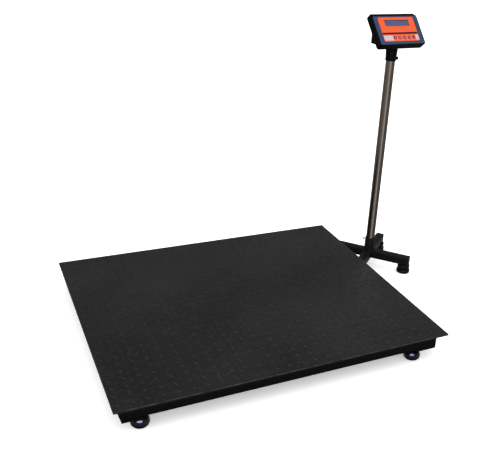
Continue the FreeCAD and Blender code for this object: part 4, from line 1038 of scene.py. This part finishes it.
def build_key(index, row):
    """A round key with a dished crown and a pale mark."""
    number = index + 1
    place = FACE @ Matrix.Translation((KEY_FIRST + index * KEY_PITCH, row, 0))
    cap = bmesh.new()
    radius = KEY_RADIUS
    rim = radius + 1 * MM
    stem = 2 * MM
    stem_bottom = -7.1 * MM
    rim_bottom = -3.5 * MM
    rim_top = -2.7 * MM
    add_lathe(cap, [
        (0, stem_bottom), (stem, stem_bottom), (stem, rim_bottom), (rim, rim_bottom), (rim, rim_top),
        (radius, rim_top), (radius, 0.35 * MM), (radius - 0.3 * MM, 0.68 * MM), (radius - 0.8 * MM, 0.8 * MM),
        (radius - 2 * MM, 0.66 * MM), (0, 0.5 * MM)], place, segments=56)
    piece(f"key_cap_{number}", cap, "key", f"key_{number}", [f"key_{number}"])
    mark = bmesh.new()
    size = 2.6 * MM
    marks = {
        1: [(-size, 0), (0, -size), (size, 0), (0, size)],
        2: [(size * math.cos(angle), size * math.sin(angle)) for angle in turns(24)],
        3: [(-size * 0.8, -size * 0.8), (size * 0.8, -size * 0.8), (size * 0.8, size * 0.8),
            (-size * 0.8, size * 0.8)],
        4: [(-size, -size * 0.7), (size, -size * 0.7), (0, size)],
        5: [(-size, -size * 0.28), (size, -size * 0.28), (size, size * 0.28), (-size, size * 0.28)],
    }
    add_prism(mark, marks[number], 0.45 * MM, 0.78 * MM, place)
    piece(f"key_mark_{number}", mark, "mark", f"key_{number}")


def build_head():
    build_bracket()
    build_yoke()
    build_front_case()
    build_rear_case()
    build_panel()


# ------------------------------------------------------------------ stage

def build_floor():
    bm = bmesh.new()
    reach = 60
    add_prism(bm, [(-reach, -reach), (reach, -reach), (reach, reach), (-reach, reach)], -0.02, 0)
    mesh = bpy.data.meshes.new("floor")
    bm.to_mesh(mesh)
    bm.free()
    shader = Shader("floor_paper", Roughness=1.0, Specular_IOR_Level=0.0, Emission_Strength=0.35,
                    Emission_Color=(1, 1, 1, 1))
    shader.tint(shader.noise(0.6, 2), (0.93, 0.93, 0.93), (0.95, 0.95, 0.95))
    mesh.materials.append(shader.material)
    floor = bpy.data.objects.new("floor", mesh)
    floor.visible_glossy = False
    floor.visible_diffuse = False
    bpy.context.scene.collection.objects.link(floor)


CAMERA_PLACE = Vector((-0.90438, -2.18122, 1.46176))
CAMERA_YAW = 0.477642
CAMERA_PITCH = 0.422789
CAMERA_ROLL = -0.068669
CAMERA_LENS = 51.04
CAMERA_SHIFT = -0.10


def build_camera():
    """The camera's place is measured from the middle of the deck."""
    ahead = Vector((math.sin(CAMERA_YAW) * math.cos(CAMERA_PITCH),
                    math.cos(CAMERA_YAW) * math.cos(CAMERA_PITCH), -math.sin(CAMERA_PITCH)))
    level = Vector((math.cos(CAMERA_YAW), -math.sin(CAMERA_YAW), 0))
    down = ahead.cross(level)
    across = math.cos(CAMERA_ROLL) * level + math.sin(CAMERA_ROLL) * down
    below = math.cos(CAMERA_ROLL) * down - math.sin(CAMERA_ROLL) * level
    data = bpy.data.cameras.new("camera")
    data.sensor_width = 36
    data.lens = CAMERA_LENS
    data.shift_x = CAMERA_SHIFT
    data.clip_end = 200
    camera = bpy.data.objects.new("camera", data)
    camera.matrix_world = axes(across, -below, -ahead, CAMERA_PLACE + Vector((DECK_MIDDLE.x, 0, 0)))
    bpy.context.scene.collection.objects.link(camera)
    bpy.context.scene.camera = camera


def add_light(name, place, target, size, power):
    data = bpy.data.lights.new(name, "AREA")
    data.shape = "RECTANGLE"
    data.size, data.size_y = size
    data.energy = power
    light = bpy.data.objects.new(name, data)
    light.location = place
    light.rotation_euler = (Vector(target) - Vector(place)).to_track_quat("-Z", "Y").to_euler()
    bpy.context.scene.collection.objects.link(light)
    return light


# What polished and painted surfaces see of the room: (0 straight down to 1 straight up, grey).
ROOM_SHADES = ((0.0, 0.1), (0.3, 0.4), (0.46, 0.62), (0.56, 0.36), (0.66, 0.26), (0.8, 0.17), (1.0, 0.2))
# Strengths: below and above a fade just under the horizon, and to the room's two sides.
HORIZON_FADE = (-0.16, -0.05)
SKY_STRENGTH = (0.25, 1.3)
ROOM_SIDES = (0, 0.7)
ROOM_STRENGTH = (0.72, 1.12)


def build_world():
    """Even white light all round; glossy surfaces see a darker room, so black paint stays black."""
    world = bpy.data.worlds.new("studio")
    bpy.context.scene.world = world
    world.use_nodes = True
    tree = world.node_tree
    link = tree.links.new
    parts = tree.nodes.new("ShaderNodeSeparateXYZ")
    link(tree.nodes.new("ShaderNodeTexCoord").outputs["Generated"], parts.inputs["Vector"])
    plain = tree.nodes["Background"]
    plain.inputs["Color"].default_value = (1, 1, 1, 1)
    link(spread(tree, parts.outputs["Z"], *HORIZON_FADE, *SKY_STRENGTH), plain.inputs["Strength"])
    shades = tree.nodes.new("ShaderNodeValToRGB")
    for _ in ROOM_SHADES[2:]:
        shades.color_ramp.elements.new(1.0)
    for element, (position, grey) in zip(shades.color_ramp.elements, ROOM_SHADES):
        element.position = position
        element.color = (grey, grey * 0.98, grey * 0.97, 1)
    link(spread(tree, parts.outputs["Z"], -1, 1, 0, 1), shades.inputs["Fac"])
    room = tree.nodes.new("ShaderNodeBackground")
    link(shades.outputs["Color"], room.inputs["Color"])
    link(spread(tree, parts.outputs["X"], *ROOM_SIDES, *ROOM_STRENGTH), room.inputs["Strength"])
    ray = tree.nodes.new("ShaderNodeLightPath")
    choose = tree.nodes.new("ShaderNodeMixShader")
    link(ray.outputs["Is Glossy Ray"], choose.inputs["Fac"])
    link(plain.outputs["Background"], choose.inputs[1])
    link(room.outputs["Background"], choose.inputs[2])
    link(choose.outputs["Shader"], tree.nodes["World Output"].inputs["Surface"])


def build_stage():
    build_floor()
    build_camera()
    build_world()
    bpy.context.scene.view_settings.view_transform = "Standard"
    overhead = add_light("overhead", place=(0.9, 1.9, 3.4), target=(0, 0, 0.1), size=(2.4, 2.4), power=40)
    overhead.visible_glossy = False
    card = add_light("highlight_card", place=(-1.6, -3.6, 2.9), target=(0, -0.4, 0.1), size=(4.4, 1.9),
                     power=430)
    card.visible_diffuse = False


build_platform()
build_stand()
build_head()
build_stage()
